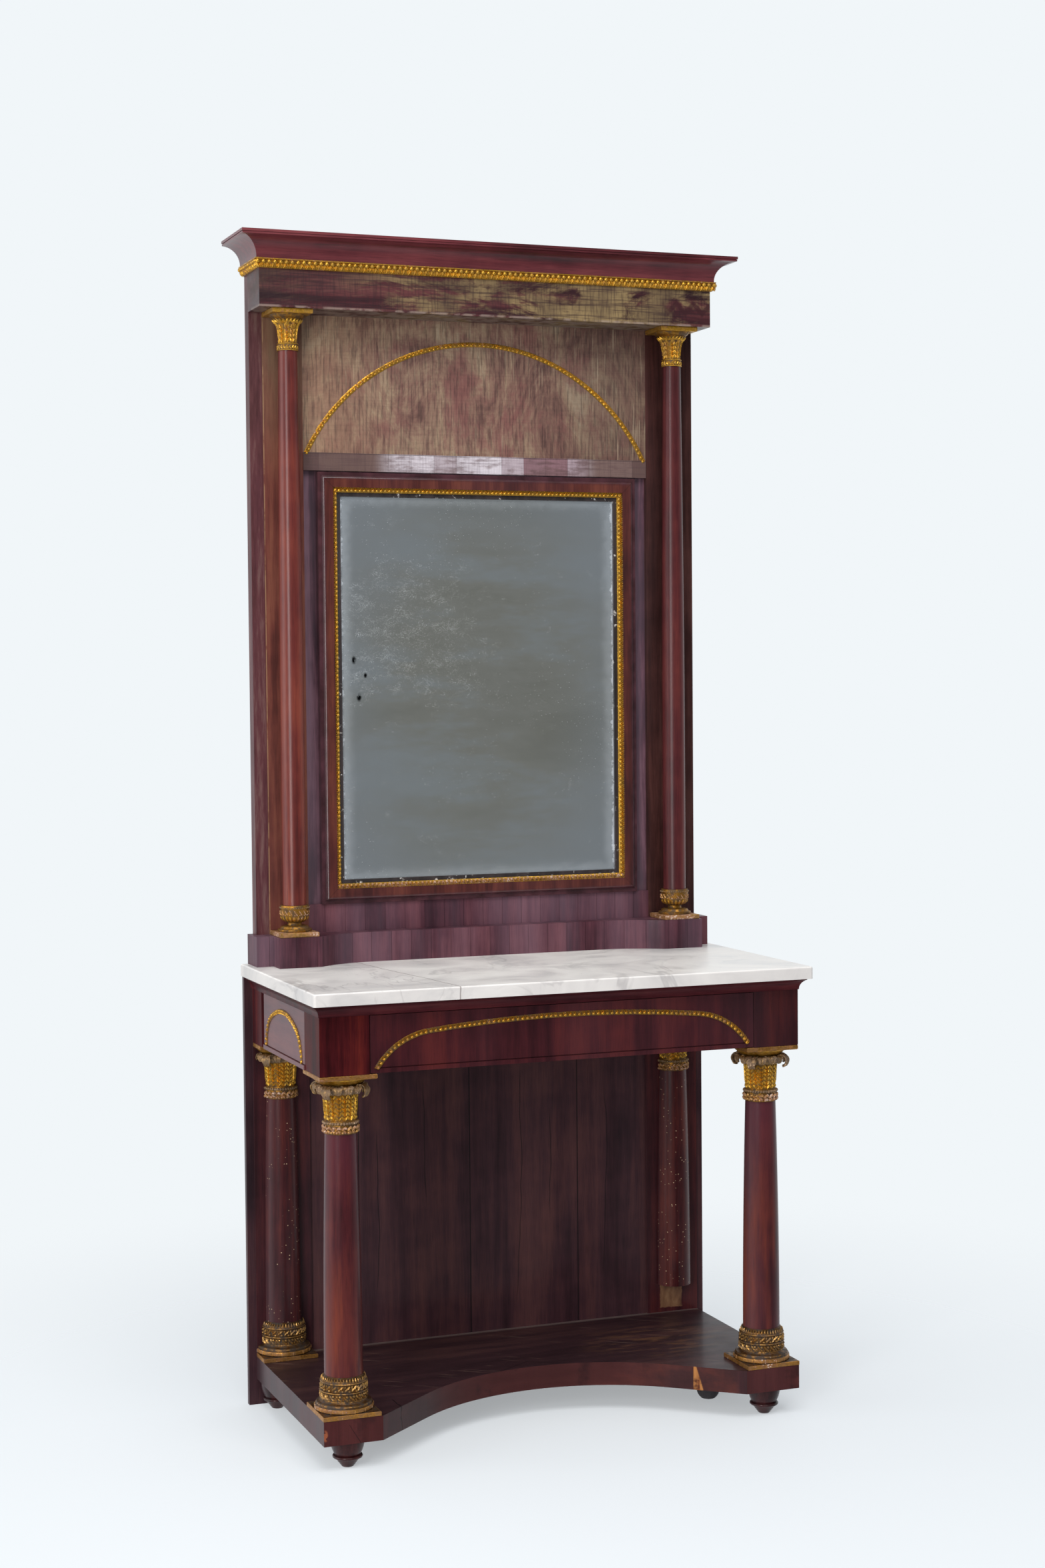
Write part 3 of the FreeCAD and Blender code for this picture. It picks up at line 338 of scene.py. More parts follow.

# %% [markdown]
# The turned shafts are veneered too. The front pair is dark wine, violet under the capital and
# worn to rust lower down, where hands and sun reach. The rear halves have the pale pin holes that
# woodworm leaves. The slender columns beside the glass are redder and better polished, and of
# these the right one stands in the shade of the room and is painted darker for that shade.

# %% Shafts
def worm_holes(f, colour, rough, height):
    spots = f.span(f.cells(110), 0.08, 0.15, 1.0, 0.0)
    rare = f.span(f.cloud(15, detail=1), 0.44, 0.52)
    hole = f.times(spots, rare)
    return f.mix(hole, colour, (206, 176, 140)), rough, f.minus(height, hole)


def sun_worn(f, colour, rough, height):
    """Violet wine under the capital, and a warmer rust in patches lower down."""
    high = f.span(f.axis("Z"), 0.5, 0.68, 0.0, 0.55)
    colour = f.mix(high, colour, (78, 34, 44))
    low = f.times(f.span(f.axis("Z"), 0.3, 0.6, 0.5, 0.0),
                 f.span(f.cloud(24, f.stretch((1, 1, 0.12)), detail=4), 0.42, 0.66))
    return f.mix(low, colour, (128, 58, 34)), rough, height


veneer("shaft_mahogany", ((40, 14, 18), (66, 24, 28), (92, 38, 33)), scale=22, haze=0.05,
       haze_and_sheen_tone=(118, 90, 104), window_sheen=0.1, polish=0.16, extra=sun_worn)
veneer("slender_mahogany", ((54, 19, 17), (94, 36, 30), (124, 57, 41)), haze=0.05, gloss=0.28,
       haze_and_sheen_tone=(120, 92, 104), window_sheen=0.0, polish=0.45, lacquer=1.55, buffed=0.28,
       bare_shine=0.05)
# Painted shade: a darker copy for the right slender column, which stands in the room's shade.
veneer("shaded_slender_mahogany", ((42, 15, 18), (74, 29, 31), (100, 44, 40)), haze=0.05, gloss=0.24,
       window_sheen=0.0, polish=0.45, lacquer=1.5, buffed=0.32, bare_shine=0.04, seed=3.0)
veneer("wormed_mahogany", ((36, 12, 15), (62, 22, 24), (94, 38, 30)), scale=22, haze=0.05,
       gloss=0.24, extra=worm_holes, window_sheen=0.1, polish=0.25)
print("shafts:", [n for n in finishes if "shaft" in n or "slender" in n or "worm" in n])

# %% [markdown]
# The boards behind the console never were polished well: wide boards, darker, with open joints
# between them and a few long shakes, which are cracks from drying. The pilasters in front of them
# are plain, but for the bare wood where a base has gone.

# %% Back boards and pilasters
BOARD_WIDTH = 0.262
SHAKES = ((-0.25, 0.2, 0.6), (-0.138, 0.4, 0.7), (0.089, 0.16, 0.72), (0.16, 0.34, 0.62),
          (0.3, 0.2, 0.66))
LOST_BASE = ((0.463, 0.1445), (0.029, 0.029))


def open_joints(f, colour, rough, height):
    """Gaps between wide boards. Each shake is (place across, foot, top)."""
    gap = f.joints(f.plus(f.axis("X"), 0.03), BOARD_WIDTH, 0.008, 1.0)
    drift = f.times(f.minus(f.cloud(3, f.stretch((0.4, 1, 1)), detail=3), 0.5), 0.05)
    wandering = f.plus(f.axis("X"), drift)
    for place, foot, top in SHAKES:
        shake = f.line(wandering, place, 0.0014, 0.85)
        above_foot = f.span(f.axis("Z"), foot, foot + 0.06)
        below_top = f.span(f.axis("Z"), top - 0.06, top, 1.0, 0.0)
        gap = f.most(gap, f.times(shake, f.times(below_top, above_foot)))
    return f.mix(gap, colour, (12, 8, 10)), rough, f.minus(height, gap)


def bare_patch(f, colour, rough, height):
    """Where the lost base stood, the pilaster shows unpolished wood."""
    ragged = f.times(f.minus(f.cloud(70, detail=4), 0.5), 0.008)
    spot = f.span(f.plus(f.least(*f.inset(LOST_BASE)), ragged), 0.0, 0.0015)
    bare = f.tones(f.cloud(60, f.stretch((1, 1, 0.4)), detail=5), (0.3, (78, 50, 38)),
                   (0.55, (116, 82, 58)), (0.8, (146, 112, 80)))
    return f.mix(spot, colour, bare), f.plus(rough, f.times(spot, 0.3)), height


veneer("board_mahogany", ((32, 17, 22), (58, 33, 38), (84, 50, 48)), scale=12, haze=0.06,
       gloss=0.4, extra=open_joints)
veneer("pilaster_mahogany", ((30, 12, 16), (58, 24, 28), (84, 36, 34)), haze=0.06,
       extra=bare_patch)
print("boards:", [n for n in finishes if "board" in n or "pilaster" in n])

# %% [markdown]
# Beside the glass the left stile has gone orange-brown, olive near the top, and its outer edge
# stands back a little: the finish changes at the step, where a pale line runs. The mirror's
# frame has a dark purple rim, painted darker towards its outer edge as the shade at its step,
# and dark mitres. Both are drawn from the distance to an edge.

# %% Stile and mirror frame
STILE_STEP = 0.4925
FRAME_OUTLINE = ((0.0, 1.5645), (0.375, 0.4705))


def stepped_edge(f, colour, rough, height):
    """The outer edge is purple, with a pale line along the step. The top is olive."""
    across = f.off(f.axis("X"))
    old = f.cloud(46, f.stretch((1, 1, 0.09)), detail=6, rough=0.7)
    purple = f.tones(old, (0.36, (52, 26, 32)), (0.52, (82, 46, 52)), (0.66, (112, 86, 82)))
    olive = f.tones(old, (0.36, (84, 60, 48)), (0.62, (126, 104, 80)))
    colour = f.mix(f.span(f.axis("Z"), 1.95, 2.36, 0.0, 0.6), colour, olive)
    outer = f.span(across, STILE_STEP + 0.001, STILE_STEP + 0.002)
    colour = f.mix(f.times(outer, 0.85), colour, purple)
    line = f.span(f.off(across, STILE_STEP), 0.0005, 0.0012, 0.7, 0.0)
    line = f.times(line, f.span(f.cloud(30), 0.35, 0.55))
    return f.mix(line, colour, (160, 130, 96)), rough, height


def frame_members(f, colour, rough, height):
    """The frame's outer rim is dark and purple, painted darker towards the outer edge as the shade
    at its step. A dark line marks each mitre.
    """
    from_side, from_end = f.inset(FRAME_OUTLINE)
    inwards = f.least(from_side, from_end)
    # Painted shade: darker towards the frame's outer edge, at its step.
    dark = f.span(inwards, 0.009, 0.019, 1.0, 0.0)
    purple = f.tones(f.cloud(30, detail=5), (0.35, (44, 22, 28)), (0.65, (74, 42, 50)))
    colour = f.mix(f.times(dark, 0.85), colour, purple)
    mitre = f.line(from_side, from_end, 0.0009, 0.8)
    mitre = f.times(mitre, f.span(inwards, 0.034, 0.035, 1.0, 0.0))
    return f.mix(mitre, colour, (24, 12, 14)), rough, height


veneer("stile_mahogany", ((62, 28, 25), (102, 52, 43), (128, 76, 58)), scale=26, haze=0.12,
       haze_and_sheen_tone=(112, 84, 82), gloss=0.32, extra=stepped_edge)
veneer("frame_mahogany", ((40, 16, 17), (76, 33, 28), (106, 54, 40)), scale=24,
       haze_and_sheen_tone=(112, 84, 92), gloss=0.22, polish=0.9, extra=frame_members)
print("beside the glass:", [n for n in finishes if "stile" in n or "frame" in n])

# %% [markdown]
# ## Bleached veneer
#
# Sun has taken the red out of the upper frieze and of the arched panel under it. The frieze went
# straw-coloured in ragged patches, with the old dark red left at its left end, and rubbing along
# and across has drawn a fine plaid on it. The panel is browner and more even, streaked upright.
# Along its foot runs a strip of ribbed leaves that has gone nearly white in the middle. The strip
# is part of the same board, so its finish takes over below a given height. Seen from the wall both
# the panel and the board behind the glass are raw, so one function paints whatever faces back.

# %% The raw back, and a plaid of rubbed lines
def raw_back(f, colour):
    """What faces the wall was never veneered: it is brown board, planed and dusty."""
    grain = f.cloud(16, f.stretch((1, 1, 0.06)), detail=6, rough=0.62)
    fine = f.cloud(260, f.stretch((1, 1, 0.05)), detail=2)
    board = f.tones(f.span(grain, 0.32, 0.68), (0.0, (74, 54, 40)), (0.5, (104, 78, 56)),
                    (1.0, (128, 100, 74)))
    board = f.mix(f.span(fine, 0.5, 0.7, 0.0, 0.35), board, (58, 42, 32))
    board = f.mix(f.span(f.cloud(5, detail=4), 0.5, 0.7, 0.0, 0.4), board, (122, 112, 102))
    return f.mix(f.span(f.facing("Y"), 0.9, 0.98), colour, board)


def backed(f, colour, rough, height):
    """A veneered board with a raw back."""
    return raw_back(f, colour), rough, height


def plaid(f, colour, dark, along, down):
    """Fine rubbed lines, both ways, over a colour."""
    across = f.cloud(270, f.stretch((0.035, 1, 1)), detail=3, rough=0.6)
    upright = f.cloud(240, f.stretch((1, 1, 0.07)), detail=3, rough=0.6)
    colour = f.mix(f.span(across, 0.48, 0.62, 0.0, along), colour, dark)
    return f.mix(f.span(upright, 0.48, 0.62, 0.0, down), colour, dark), upright


print("raw backs and plaids are ready for the boards over and behind the glass")

# %% The faded frieze
FRIEZE_FOOT = 2.3745


def dark_stain(f):
    """A stain with a slanting foot at the frieze's right end."""
    fold = f.work("PINGPONG", f.axis("X"), 0.021)
    from_line = f.off(f.minus(f.axis("Z"), 2.401), fold)
    return f.times(f.span(from_line, 0.004, 0.011, 1.0, 0.0), f.span(f.axis("X"), 0.4, 0.43))


def bleached_frieze():
    f = Finish("bleached_frieze")
    grain = f.cloud(34, f.stretch((0.07, 1, 1)), detail=6, rough=0.65)
    colour = f.tones(f.span(grain, 0.34, 0.66), (0.0, (34, 13, 18)), (0.5, (62, 26, 31)),
                     (1.0, (88, 46, 46)))
    patch = f.cloud(5.2, f.stretch((0.6, 1, 1.7)), detail=7, rough=0.72, bend=0.9)
    faded = f.times(f.span(patch, 0.45, 0.56), f.span(f.axis("X"), -0.36, -0.16, 0.12, 1.0))
    straw = f.tones(f.cloud(42, f.stretch((0.3, 1, 0.3)), detail=5), (0.35, (92, 74, 52)),
                    (0.65, (142, 120, 80)))
    colour = f.mix(f.times(faded, 0.9), colour, straw)
    colour, upright = plaid(f, colour, (44, 24, 28), 0.6, 0.45)
    colour = f.mix(f.times(dark_stain(f), 0.75), colour, (52, 22, 26))
    worn_foot = f.times(f.span(f.axis("Z"), FRIEZE_FOOT, FRIEZE_FOOT + 0.0035, 1.0, 0.0),
                        f.span(f.cloud(35), 0.4, 0.55))
    colour = f.mix(f.times(worn_foot, 0.5), colour, (150, 132, 120))
    windowward = f.span(f.facing("X"), -0.98, -0.6, 0.4, 0.0)
    colour = f.mix(windowward, colour, (66, 42, 42))
    finishes["bleached_frieze"] = f.done(colour, f.span(patch, 0.3, 0.7, 0.34, 0.5), height=upright,
                                         depth=0.0003, Specular_IOR_Level=0.32)


bleached_frieze()
print("frieze in", len(finishes["bleached_frieze"].node_tree.nodes), "nodes")

# %% The strip at the foot of the faded panel
STRIP_TOP = 2.0765
STRIP_LEAF, STRIP_RIB = 0.053, 0.0037


def pale_strip(f, colour, height):
    """Ribbed leaves along the foot of the panel, whitest in the middle."""
    low = f.span(f.axis("Z"), STRIP_TOP, STRIP_TOP + 0.001, 1.0, 0.0)
    rib = f.work("FRACT", f.work("DIVIDE", f.axis("X"), STRIP_RIB))
    leaf = f.chance(f.snap((STRIP_LEAF, 1.0, 1.0)))
    blanched = f.span(f.off(f.axis("X"), 0.02), 0.2, 0.27, 1.0, 0.0)
    dusky = f.tones(leaf, (0.0, (84, 62, 58)), (0.5, (98, 76, 70)), (1.0, (112, 90, 84)))
    white = f.tones(leaf, (0.0, (116, 74, 78)), (0.25, (150, 128, 134)), (0.5, (196, 188, 192)),
                    (0.75, (160, 146, 150)), (1.0, (204, 196, 200)))
    white = f.mix(f.span(rib, 0.5, 0.95, 0.0, 0.3), white, (120, 94, 100))
    strip_tone = f.mix(blanched, dusky, white)
    rubbed = f.cloud(30, f.stretch((0.5, 1, 1.6)), detail=8, rough=0.72)
    strip_tone = f.mix(f.span(rubbed, 0.46, 0.62, 0.0, 0.6), strip_tone, (92, 68, 66))
    strip_tone, _ = plaid(f, strip_tone, (70, 50, 52), 0.3, 0.15)
    seam = f.span(f.off(f.axis("Z"), STRIP_TOP - 0.001), 0.0004, 0.001, 0.6, 0.0)
    strip_tone = f.mix(seam, strip_tone, (40, 26, 26))
    strip_tone = f.mix(f.joints(f.axis("X"), STRIP_LEAF, 0.016, 0.45), strip_tone, (40, 28, 32))
    height = f.plus(height, f.times(f.times(rib, low), 2.0))
    return f.mix(low, colour, strip_tone), height


print("strip of", round(0.808 / STRIP_LEAF), "leaves")

# %% The faded panel
def bleached_panel():
    f = Finish("bleached_panel")
    patch = f.cloud(8, f.stretch((1, 1, 0.6)), detail=9, rough=0.76, bend=0.7)
    streak = f.cloud(150, f.stretch((1, 1, 0.09)), detail=6, rough=0.75)
    value = f.plus(f.times(patch, 0.7), f.times(streak, 0.3))
    colour = f.tones(f.span(value, 0.35, 0.65), (0.0, (82, 57, 53)), (0.3, (114, 83, 72)),
                     (0.55, (130, 102, 85)), (0.78, (142, 118, 95)), (1.0, (154, 136, 112)))
    old_red = f.cloud(9, f.stretch((1, 1, 0.8)), detail=8, rough=0.74)
    colour = f.mix(f.span(old_red, 0.47, 0.6, 0.0, 0.6), colour, (120, 74, 70))
    # Painted light and shade: the panel is painted darker and browner towards the right, for the
    # room's shade, and paler towards the left, for the window light.
    colour = f.mix(f.span(f.axis("X"), 0.08, 0.34, 0.0, 0.55), colour, (84, 64, 55))
    colour = f.mix(f.span(f.axis("X"), -0.4, -0.16, 0.4, 0.0), colour, (154, 120, 92))
    colour, upright = plaid(f, colour, (46, 32, 32), 0.1, 0.46)
    scuff = f.span(f.cloud(330, f.stretch((1, 1, 0.03)), detail=2), 0.6, 0.68, 0.0, 0.4)
    colour = f.mix(f.times(scuff, f.span(f.cloud(6), 0.45, 0.6)), colour, (170, 152, 126))
    leaning = f.minus(f.axis("X"), f.times(f.axis("Z"), 0.05))
    split = f.times(f.line(leaning, 0.228, 0.0009), f.span(f.axis("Z"), 2.19, 2.21, 1.0, 0.0))
    colour = f.mix(f.times(split, 0.85), colour, (34, 22, 24))
    colour, height = pale_strip(f, colour, upright)
    colour = raw_back(f, colour)
    finishes["bleached_panel"] = f.done(colour, f.span(patch, 0.3, 0.7, 0.36, 0.52), height=height,
                                        depth=0.0003, Specular_IOR_Level=0.32)


bleached_panel()
print("bleached:", [n for n in finishes if "bleached" in n])

# %% [markdown]
# ## Gold, bronze paint, stone and glass
#
# Gilding is leaf metal over red clay over chalk. On the high places it is rubbed through, first to
# the red and then to the white, and in the hollows it keeps dirt. The carved bases were bronzed,
# which is a brown varnish with bronze powder that has gone dull. Both are the same recipe with
# other tones: metal broken up by clay, chalk and dirt.

# %% Gilding and bronzing
def gilding(name, metal, clay, dirt, worn=0.3, soiled=0.4, chalk=(214, 200, 186), rough=0.34):
    """Leaf metal. worn is how far it is rubbed, first to the clay and then to the chalk."""
    f = Finish(name)
    wear = f.cloud(210, detail=5, rough=0.7)
    value = f.plus(f.times(wear, 0.6), f.times(f.cloud(22, detail=3), 0.4))
    rubbed = f.span(value, 0.62 - worn * 0.3, 0.66 - worn * 0.2)
    bare = f.span(value, 0.7 - worn * 0.25, 0.72 - worn * 0.2)
    grime = f.times(f.span(f.cloud(75, detail=4), 0.42, 0.6), soiled)
    colour = f.tones(f.cloud(240, detail=2), (0.35, [m * 0.82 for m in metal]), (0.65, metal))
    colour = f.mix(grime, colour, dirt)
    colour = f.mix(f.times(rubbed, 0.8), colour, clay)
    colour = f.mix(f.times(bare, 0.8), colour, chalk)
    shine = f.minus(1.0, f.most(rubbed, f.times(grime, 0.8)), clamp=True)
    matt = f.span(shine, 0.0, 1.0, 0.7, rough)
    finishes[name] = f.done(colour, matt, f.times(shine, 0.9), height=wear, depth=0.0005)


gilding("bright_gilding", (232, 178, 66), (128, 76, 36), (96, 68, 32), worn=0.12, soiled=0.42)
gilding("old_gilding", (216, 162, 58), (126, 72, 44), (84, 58, 34), soiled=0.45)
# shaded_gilding is gold darkened both by dirt and as painted shade, for hollows and the grounds under
# relief.
gilding("shaded_gilding", (158, 112, 44), (88, 56, 30), (56, 40, 26), worn=0.1, soiled=0.8,
        rough=0.42)
gilding("abacus_gilding", (188, 134, 66), (124, 76, 42), (98, 70, 48), worn=0.34, soiled=0.55,
        rough=0.42)
gilding("rubbed_gilding", (206, 156, 86), (142, 96, 72), (104, 82, 60), worn=0.62, soiled=0.45,
        chalk=(208, 184, 164))
gilding("dirty_gilding", (158, 126, 86), (120, 92, 68), (92, 76, 62), worn=0.45, soiled=0.75,
        rough=0.5, chalk=(206, 172, 134))
gilding("bronzing", (108, 76, 44), (66, 46, 36), (46, 36, 30), worn=0.2, soiled=0.9, rough=0.42,
        chalk=(132, 104, 78))
gilding("edge_bronze", (176, 132, 74), (80, 56, 40), (56, 42, 32), soiled=0.9, rough=0.38,
        chalk=(196, 168, 132))
gilding("bronze_relief", (192, 146, 82), (98, 68, 44), (66, 48, 36), worn=0.25, soiled=0.7,
        chalk=(190, 158, 122))
print("metals:", [n for n in finishes if "gild" in n or "bronz" in n])

# %% [markdown]
# The marble is white with soft grey clouds and a few thin veins, and a hairline crack that crosses
# its left end. A vein is where a warped noise passes through its middle value, so the distance
# from that value, sharpened, draws a line.

# %% Marble
def hairline_crack(f):
    """Across the slab near its left end, a little aslant and never quite straight."""
    aslant = f.plus(f.axis("X"), f.times(f.axis("Y"), 0.138))
    bent = f.plus(aslant, f.times(f.cloud(9), 0.02))
    return f.line(f.plus(bent, 0.273), 0.0, 0.0022)


def marble():
    f = Finish("white_marble")
    clouds = f.cloud(5, f.stretch((1, 1.3, 1)), detail=7, rough=0.6, bend=1.2)
    colour = f.tones(f.span(clouds, 0.25, 0.7), (0.0, (206, 204, 200)), (0.4, (226, 222, 216)),
                     (1.0, (238, 234, 227)))
    paths = f.cloud(2.2, f.stretch((1.7, 0.8, 1)), detail=5, rough=0.5, bend=1.3)
    vein = f.line(paths, 0.5, 0.014)
    here = f.span(f.cloud(3.3), 0.45, 0.6)
    colour = f.mix(f.times(f.times(vein, here), 0.34), colour, (134, 130, 130))
    spots = f.times(f.span(f.cells(26), 0.03, 0.05, 1.0, 0.0), f.span(f.cloud(8), 0.55, 0.6))
    colour = f.mix(f.times(spots, 0.5), colour, (120, 104, 92))
    colour = f.mix(f.times(hairline_crack(f), 0.85), colour, (92, 78, 74))
    # Painted shade: the slab's sides are painted greyer than its top.
    not_the_top = f.minus(1.0, f.span(f.facing("Z"), 0.3, 0.8))
    colour = f.mix(f.times(not_the_top, 0.25), colour, (150, 138, 134))
    finishes["white_marble"] = f.done(colour, f.span(clouds, 0.3, 0.7, 0.28, 0.4), height=vein,
                                      depth=-0.0003)


marble()
print("stone:", finishes["white_marble"].name)

# %% [markdown]
# The glass is silvered and old. Its silvering is metal behind glass, so the finish is a pale
# metal, a little olive in the middle and bluer towards the edges. Damp has bloomed into white
# specks left of the middle, the margins are hazy, and in three places the silver is gone and shows
# black.

# %% Old silvering
GLASS_OUTLINE = ((0.0, 1.5645), (0.325, 0.428))
GLASS_Y = 0.257
LOST_SILVER = ((-0.294, 1.627, 0.0045, 0.008), (-0.268, 1.593, 0.0035, 0.005),
               (-0.283, 1.545, 0.005, 0.008))


def foxing_of(f):
    """White specks: crowded in a bloom left of the middle, and strewn thinly elsewhere."""
    specks = f.span(f.cloud(800, detail=3), 0.53, 0.66)
    bloom = f.within((-0.165, GLASS_Y, 1.68), (0.2, 1.0, 0.16), 0.5)
    spread = f.cloud(20, f.stretch((0.8, 1, 1.2)), detail=12, rough=0.95)
    spread = f.plus(spread, f.times(bloom, 0.07))
    crowded = f.times(specks, f.span(spread, 0.545, 0.68, 0.0, 0.95))
    strewn = f.times(f.span(f.cells(160), 0.05, 0.09, 1.0, 0.0),
                     f.span(f.cloud(5), 0.45, 0.6, 0.1, 0.6))
    return f.most(crowded, strewn)


def margin_haze(f):
    """Grey haze that creeps in from the edges, ragged at the rim and soft beyond."""
    margin = f.least(*f.inset(GLASS_OUTLINE))
    ragged = f.plus(margin, f.times(f.cloud(60, detail=6, rough=0.7), -0.03))
    rim = f.span(ragged, -0.0145, -0.0085, 0.6, 0.0)
    return f.plus(rim, f.span(ragged, -0.012, 0.022, 0.13, 0.0))


def lost_silver(f):
    """Small ragged holes. Each is (across, up, half width, half height)."""
    holes = [f.within((x, GLASS_Y, z), (half_x, 1.0, half_z), 0.5)
             for x, z, half_x, half_z in LOST_SILVER]
    lost = f.most(f.most(holes[0], holes[1]), holes[2])
    return f.times(lost, f.span(f.cloud(90), 0.4, 0.5))


def silvering():
    f = Finish("old_silvering")
    drift = f.cloud(4.2, f.stretch((0.3, 1, 1)), detail=6, rough=0.62)
    colour = f.tones(f.span(drift, 0.35, 0.65), (0.0, (208, 208, 196)), (0.5, (222, 222, 212)),
                     (1.0, (232, 240, 242)))
    middle = f.within((0.0, GLASS_Y, 1.56), (0.3, 1.0, 0.4), 0.5)
    colour = f.mix(f.minus(1.0, middle), colour, (232, 240, 246))
    haze, foxing = margin_haze(f), foxing_of(f)
    colour = f.mix(haze, colour, (186, 192, 198))
    colour = f.mix(foxing, colour, (212, 218, 222))
    colour = f.mix(lost_silver(f), colour, (20, 22, 24))
    metal = f.minus(0.95, f.most(haze, foxing), clamp=True)
    rough = f.plus(0.16, f.times(f.most(haze, foxing), 0.5))
    finishes["old_silvering"] = f.done(colour, rough, metal)


silvering()
print("silvering in", len(finishes["old_silvering"].node_tree.nodes), "nodes")

# %% [markdown]
# ## Plain woods and the platform
#
# Feet and plain inner parts get humble finishes: dark mahogany for the feet, dull grey wood for
# the bearers between them, a chipped black for the slip beside the glass, and unpolished pine for
# the drawer's inside. The platform's top is a dark, worn floor with slanting joints. Its sides are
# crossbanded, but its curved front is grained lengthwise.

# %% Plain woods
def plain_wood(name, low, high, along=(1, 1, 0.06), rough=0.6, rings=30):
    f = Finish(name)
    grain = f.cloud(rings, f.stretch(along), detail=5, rough=0.6)
    fine = f.cloud(rings * 12, f.stretch(along), detail=2)
    colour = f.tones(f.span(grain, 0.3, 0.7), (0.0, low), (1.0, high))
    colour = f.mix(f.span(fine, 0.5, 0.75, 0.0, 0.3), colour, [c * 0.6 for c in low])
    matt = f.span(grain, 0.3, 0.7, rough, rough + 0.15)
    finishes[name] = f.done(colour, matt, height=fine, depth=0.0004)


def chipped_slip():
    """Black slip between the glass and the gilt edge. White ground shows where it has flaked."""
    f = Finish("chipped_slip")
    grain = f.cloud(45, f.stretch((1, 1, 0.06)), detail=5)
    colour = f.tones(f.span(grain, 0.3, 0.7), (0.0, (24, 18, 19)), (1.0, (52, 42, 42)))
    left_end = f.span(f.axis("X"), -0.334, -0.33, 1.0, 0.0)
    foot = f.span(f.axis("Z"), 1.136, 1.14, 0.45, 0.0)
    loosened = f.times(f.most(left_end, foot), 0.22)
    flakes = f.span(f.plus(f.cloud(70, detail=5, rough=0.7), loosened), 0.62, 0.66)
    colour = f.mix(f.times(flakes, 0.9), colour, (196, 192, 186))
    finishes["chipped_slip"] = f.done(colour, 0.5, height=flakes, depth=0.0003)


chipped_slip()
veneer("foot_mahogany", ((24, 10, 11), (48, 20, 21), (72, 34, 32)), scale=30, haze=0.05, polish=0.3)
plain_wood("grey_bearer", (44, 42, 44), (74, 70, 72), rough=0.8, rings=25)
plain_wood("pine", (132, 98, 62), (176, 140, 96), along=(1, 0.06, 1), rough=0.65)
plain_wood("pine_across", (126, 94, 60), (170, 136, 92), along=(0.06, 1, 1), rough=0.65)
# The bay's heavy pale lilac haze is a painted sheen: streaky gloss light on the board.
veneer("bay_mahogany", ((38, 17, 25), (70, 38, 47), (108, 72, 82)), scale=40, haze=0.5,
       haze_and_sheen_tone=(156, 132, 148), contrast=(0.36, 0.66), polish=0.8, extra=backed)
print("plain finishes end with", list(finishes)[-5:])

# %% The platform's top
PLATFORM_TOP = 0.107
SLANT = 0.6


def worn_floor(f):
    """Slanting boards with scratches, a worn patch at the right, and dust along the back."""
    slanting = f.plus(f.axis("Y"), f.times(f.off(f.axis("X")), SLANT))
    dark = f.tones(f.cloud(14, f.stretch((0.1, 1, 1)), detail=7, rough=0.68), (0.3, (32, 20, 23)),
                   (0.5, (50, 32, 35)), (0.72, (76, 50, 48)))
    dark = f.mix(f.line(slanting, 0.0, 0.003, 0.8), dark, (14, 9, 11))
    turned_place = f.node("ShaderNodeMapping")
    f.feed(turned_place.inputs["Vector"], f.place)
    turned_place.inputs["Rotation"].default_value = (0.0, 0.0, SLANT)
    thin = f.cloud(160, f.stretch((0.03, 1, 1), turned_place.outputs[0]), detail=1)
    scratch = f.times(f.span(thin, 0.66, 0.7), f.span(f.cloud(9), 0.45, 0.6))
    dark = f.mix(f.times(scratch, 0.5), dark, (138, 112, 98))
    worn = f.times(f.within((0.33, 0.05, PLATFORM_TOP), (0.13, 0.1, 0.1), 0.7),
                   f.span(f.cloud(60, f.stretch((0.25, 1, 1)), detail=4), 0.45, 0.62))
    dark = f.mix(f.times(worn, 0.5), dark, (112, 78, 54))
    dust = f.span(f.plus(f.axis("Y"), f.times(f.cloud(20), 0.006)), 0.253, 0.266)
    return f.mix(f.times(dust, 0.55), dark, (132, 116, 110))


print("the floor's joints slant by", round(math.degrees(math.atan(SLANT))), "degrees")

# %% The platform's front
def curved_front(f, colour):
    """The sweep between the blocks is grained lengthwise."""
    long_grain = f.cloud(12, f.stretch((0.1, 1, 1.2)), detail=6, rough=0.64)
    sweep = f.tones(long_grain, (0.34, (30, 18, 21)), (0.52, (52, 29, 30)), (0.7, (82, 41, 35)))
    between = f.span(f.off(f.axis("X")), 0.385, 0.395, 1.0, 0.0)
    curved = f.times(between, f.span(f.facing("Y"), -0.6, -0.4, 1.0, 0.0))
    return f.mix(f.times(curved, 0.85), colour, sweep)


def front_crack(f, drift):
    """A crack down the front, left of the middle."""
    bent = f.plus(f.plus(f.axis("X"), drift), 0.354)
    return f.times(f.line(bent, 0.0, 0.0018), f.span(f.axis("Y"), -0.16, -0.15, 1.0, 0.0))


def edge_chip(f, up):
    """A chip in the curved front, right of the middle. It leans, and widens downwards."""
    lean = f.times(f.minus(PLATFORM_TOP, f.axis("Z")), 0.12)
    from_middle = f.off(f.minus(f.axis("X"), lean), 0.318)
    chip = f.span(f.minus(from_middle, f.plus(0.0025, lean)), -0.001, 0.001, 1.0, 0.0)
    return f.times(f.times(chip, f.span(f.axis("Y"), 0.1, 0.12, 1.0, 0.0)), f.minus(1.0, up))


def bare_wood(f):
    """Bright wood in the chip, darker low down."""
    wood = f.tones(f.cloud(90, f.stretch((1, 1, 0.2)), detail=4), (0.35, (104, 52, 28)),
                   (0.55, (176, 118, 64)))
    low = f.times(f.span(f.axis("Z"), 0.076, 0.09, 0.8, 0.0), f.span(f.cloud(110), 0.4, 0.55))
    return f.mix(low, wood, (70, 34, 20))


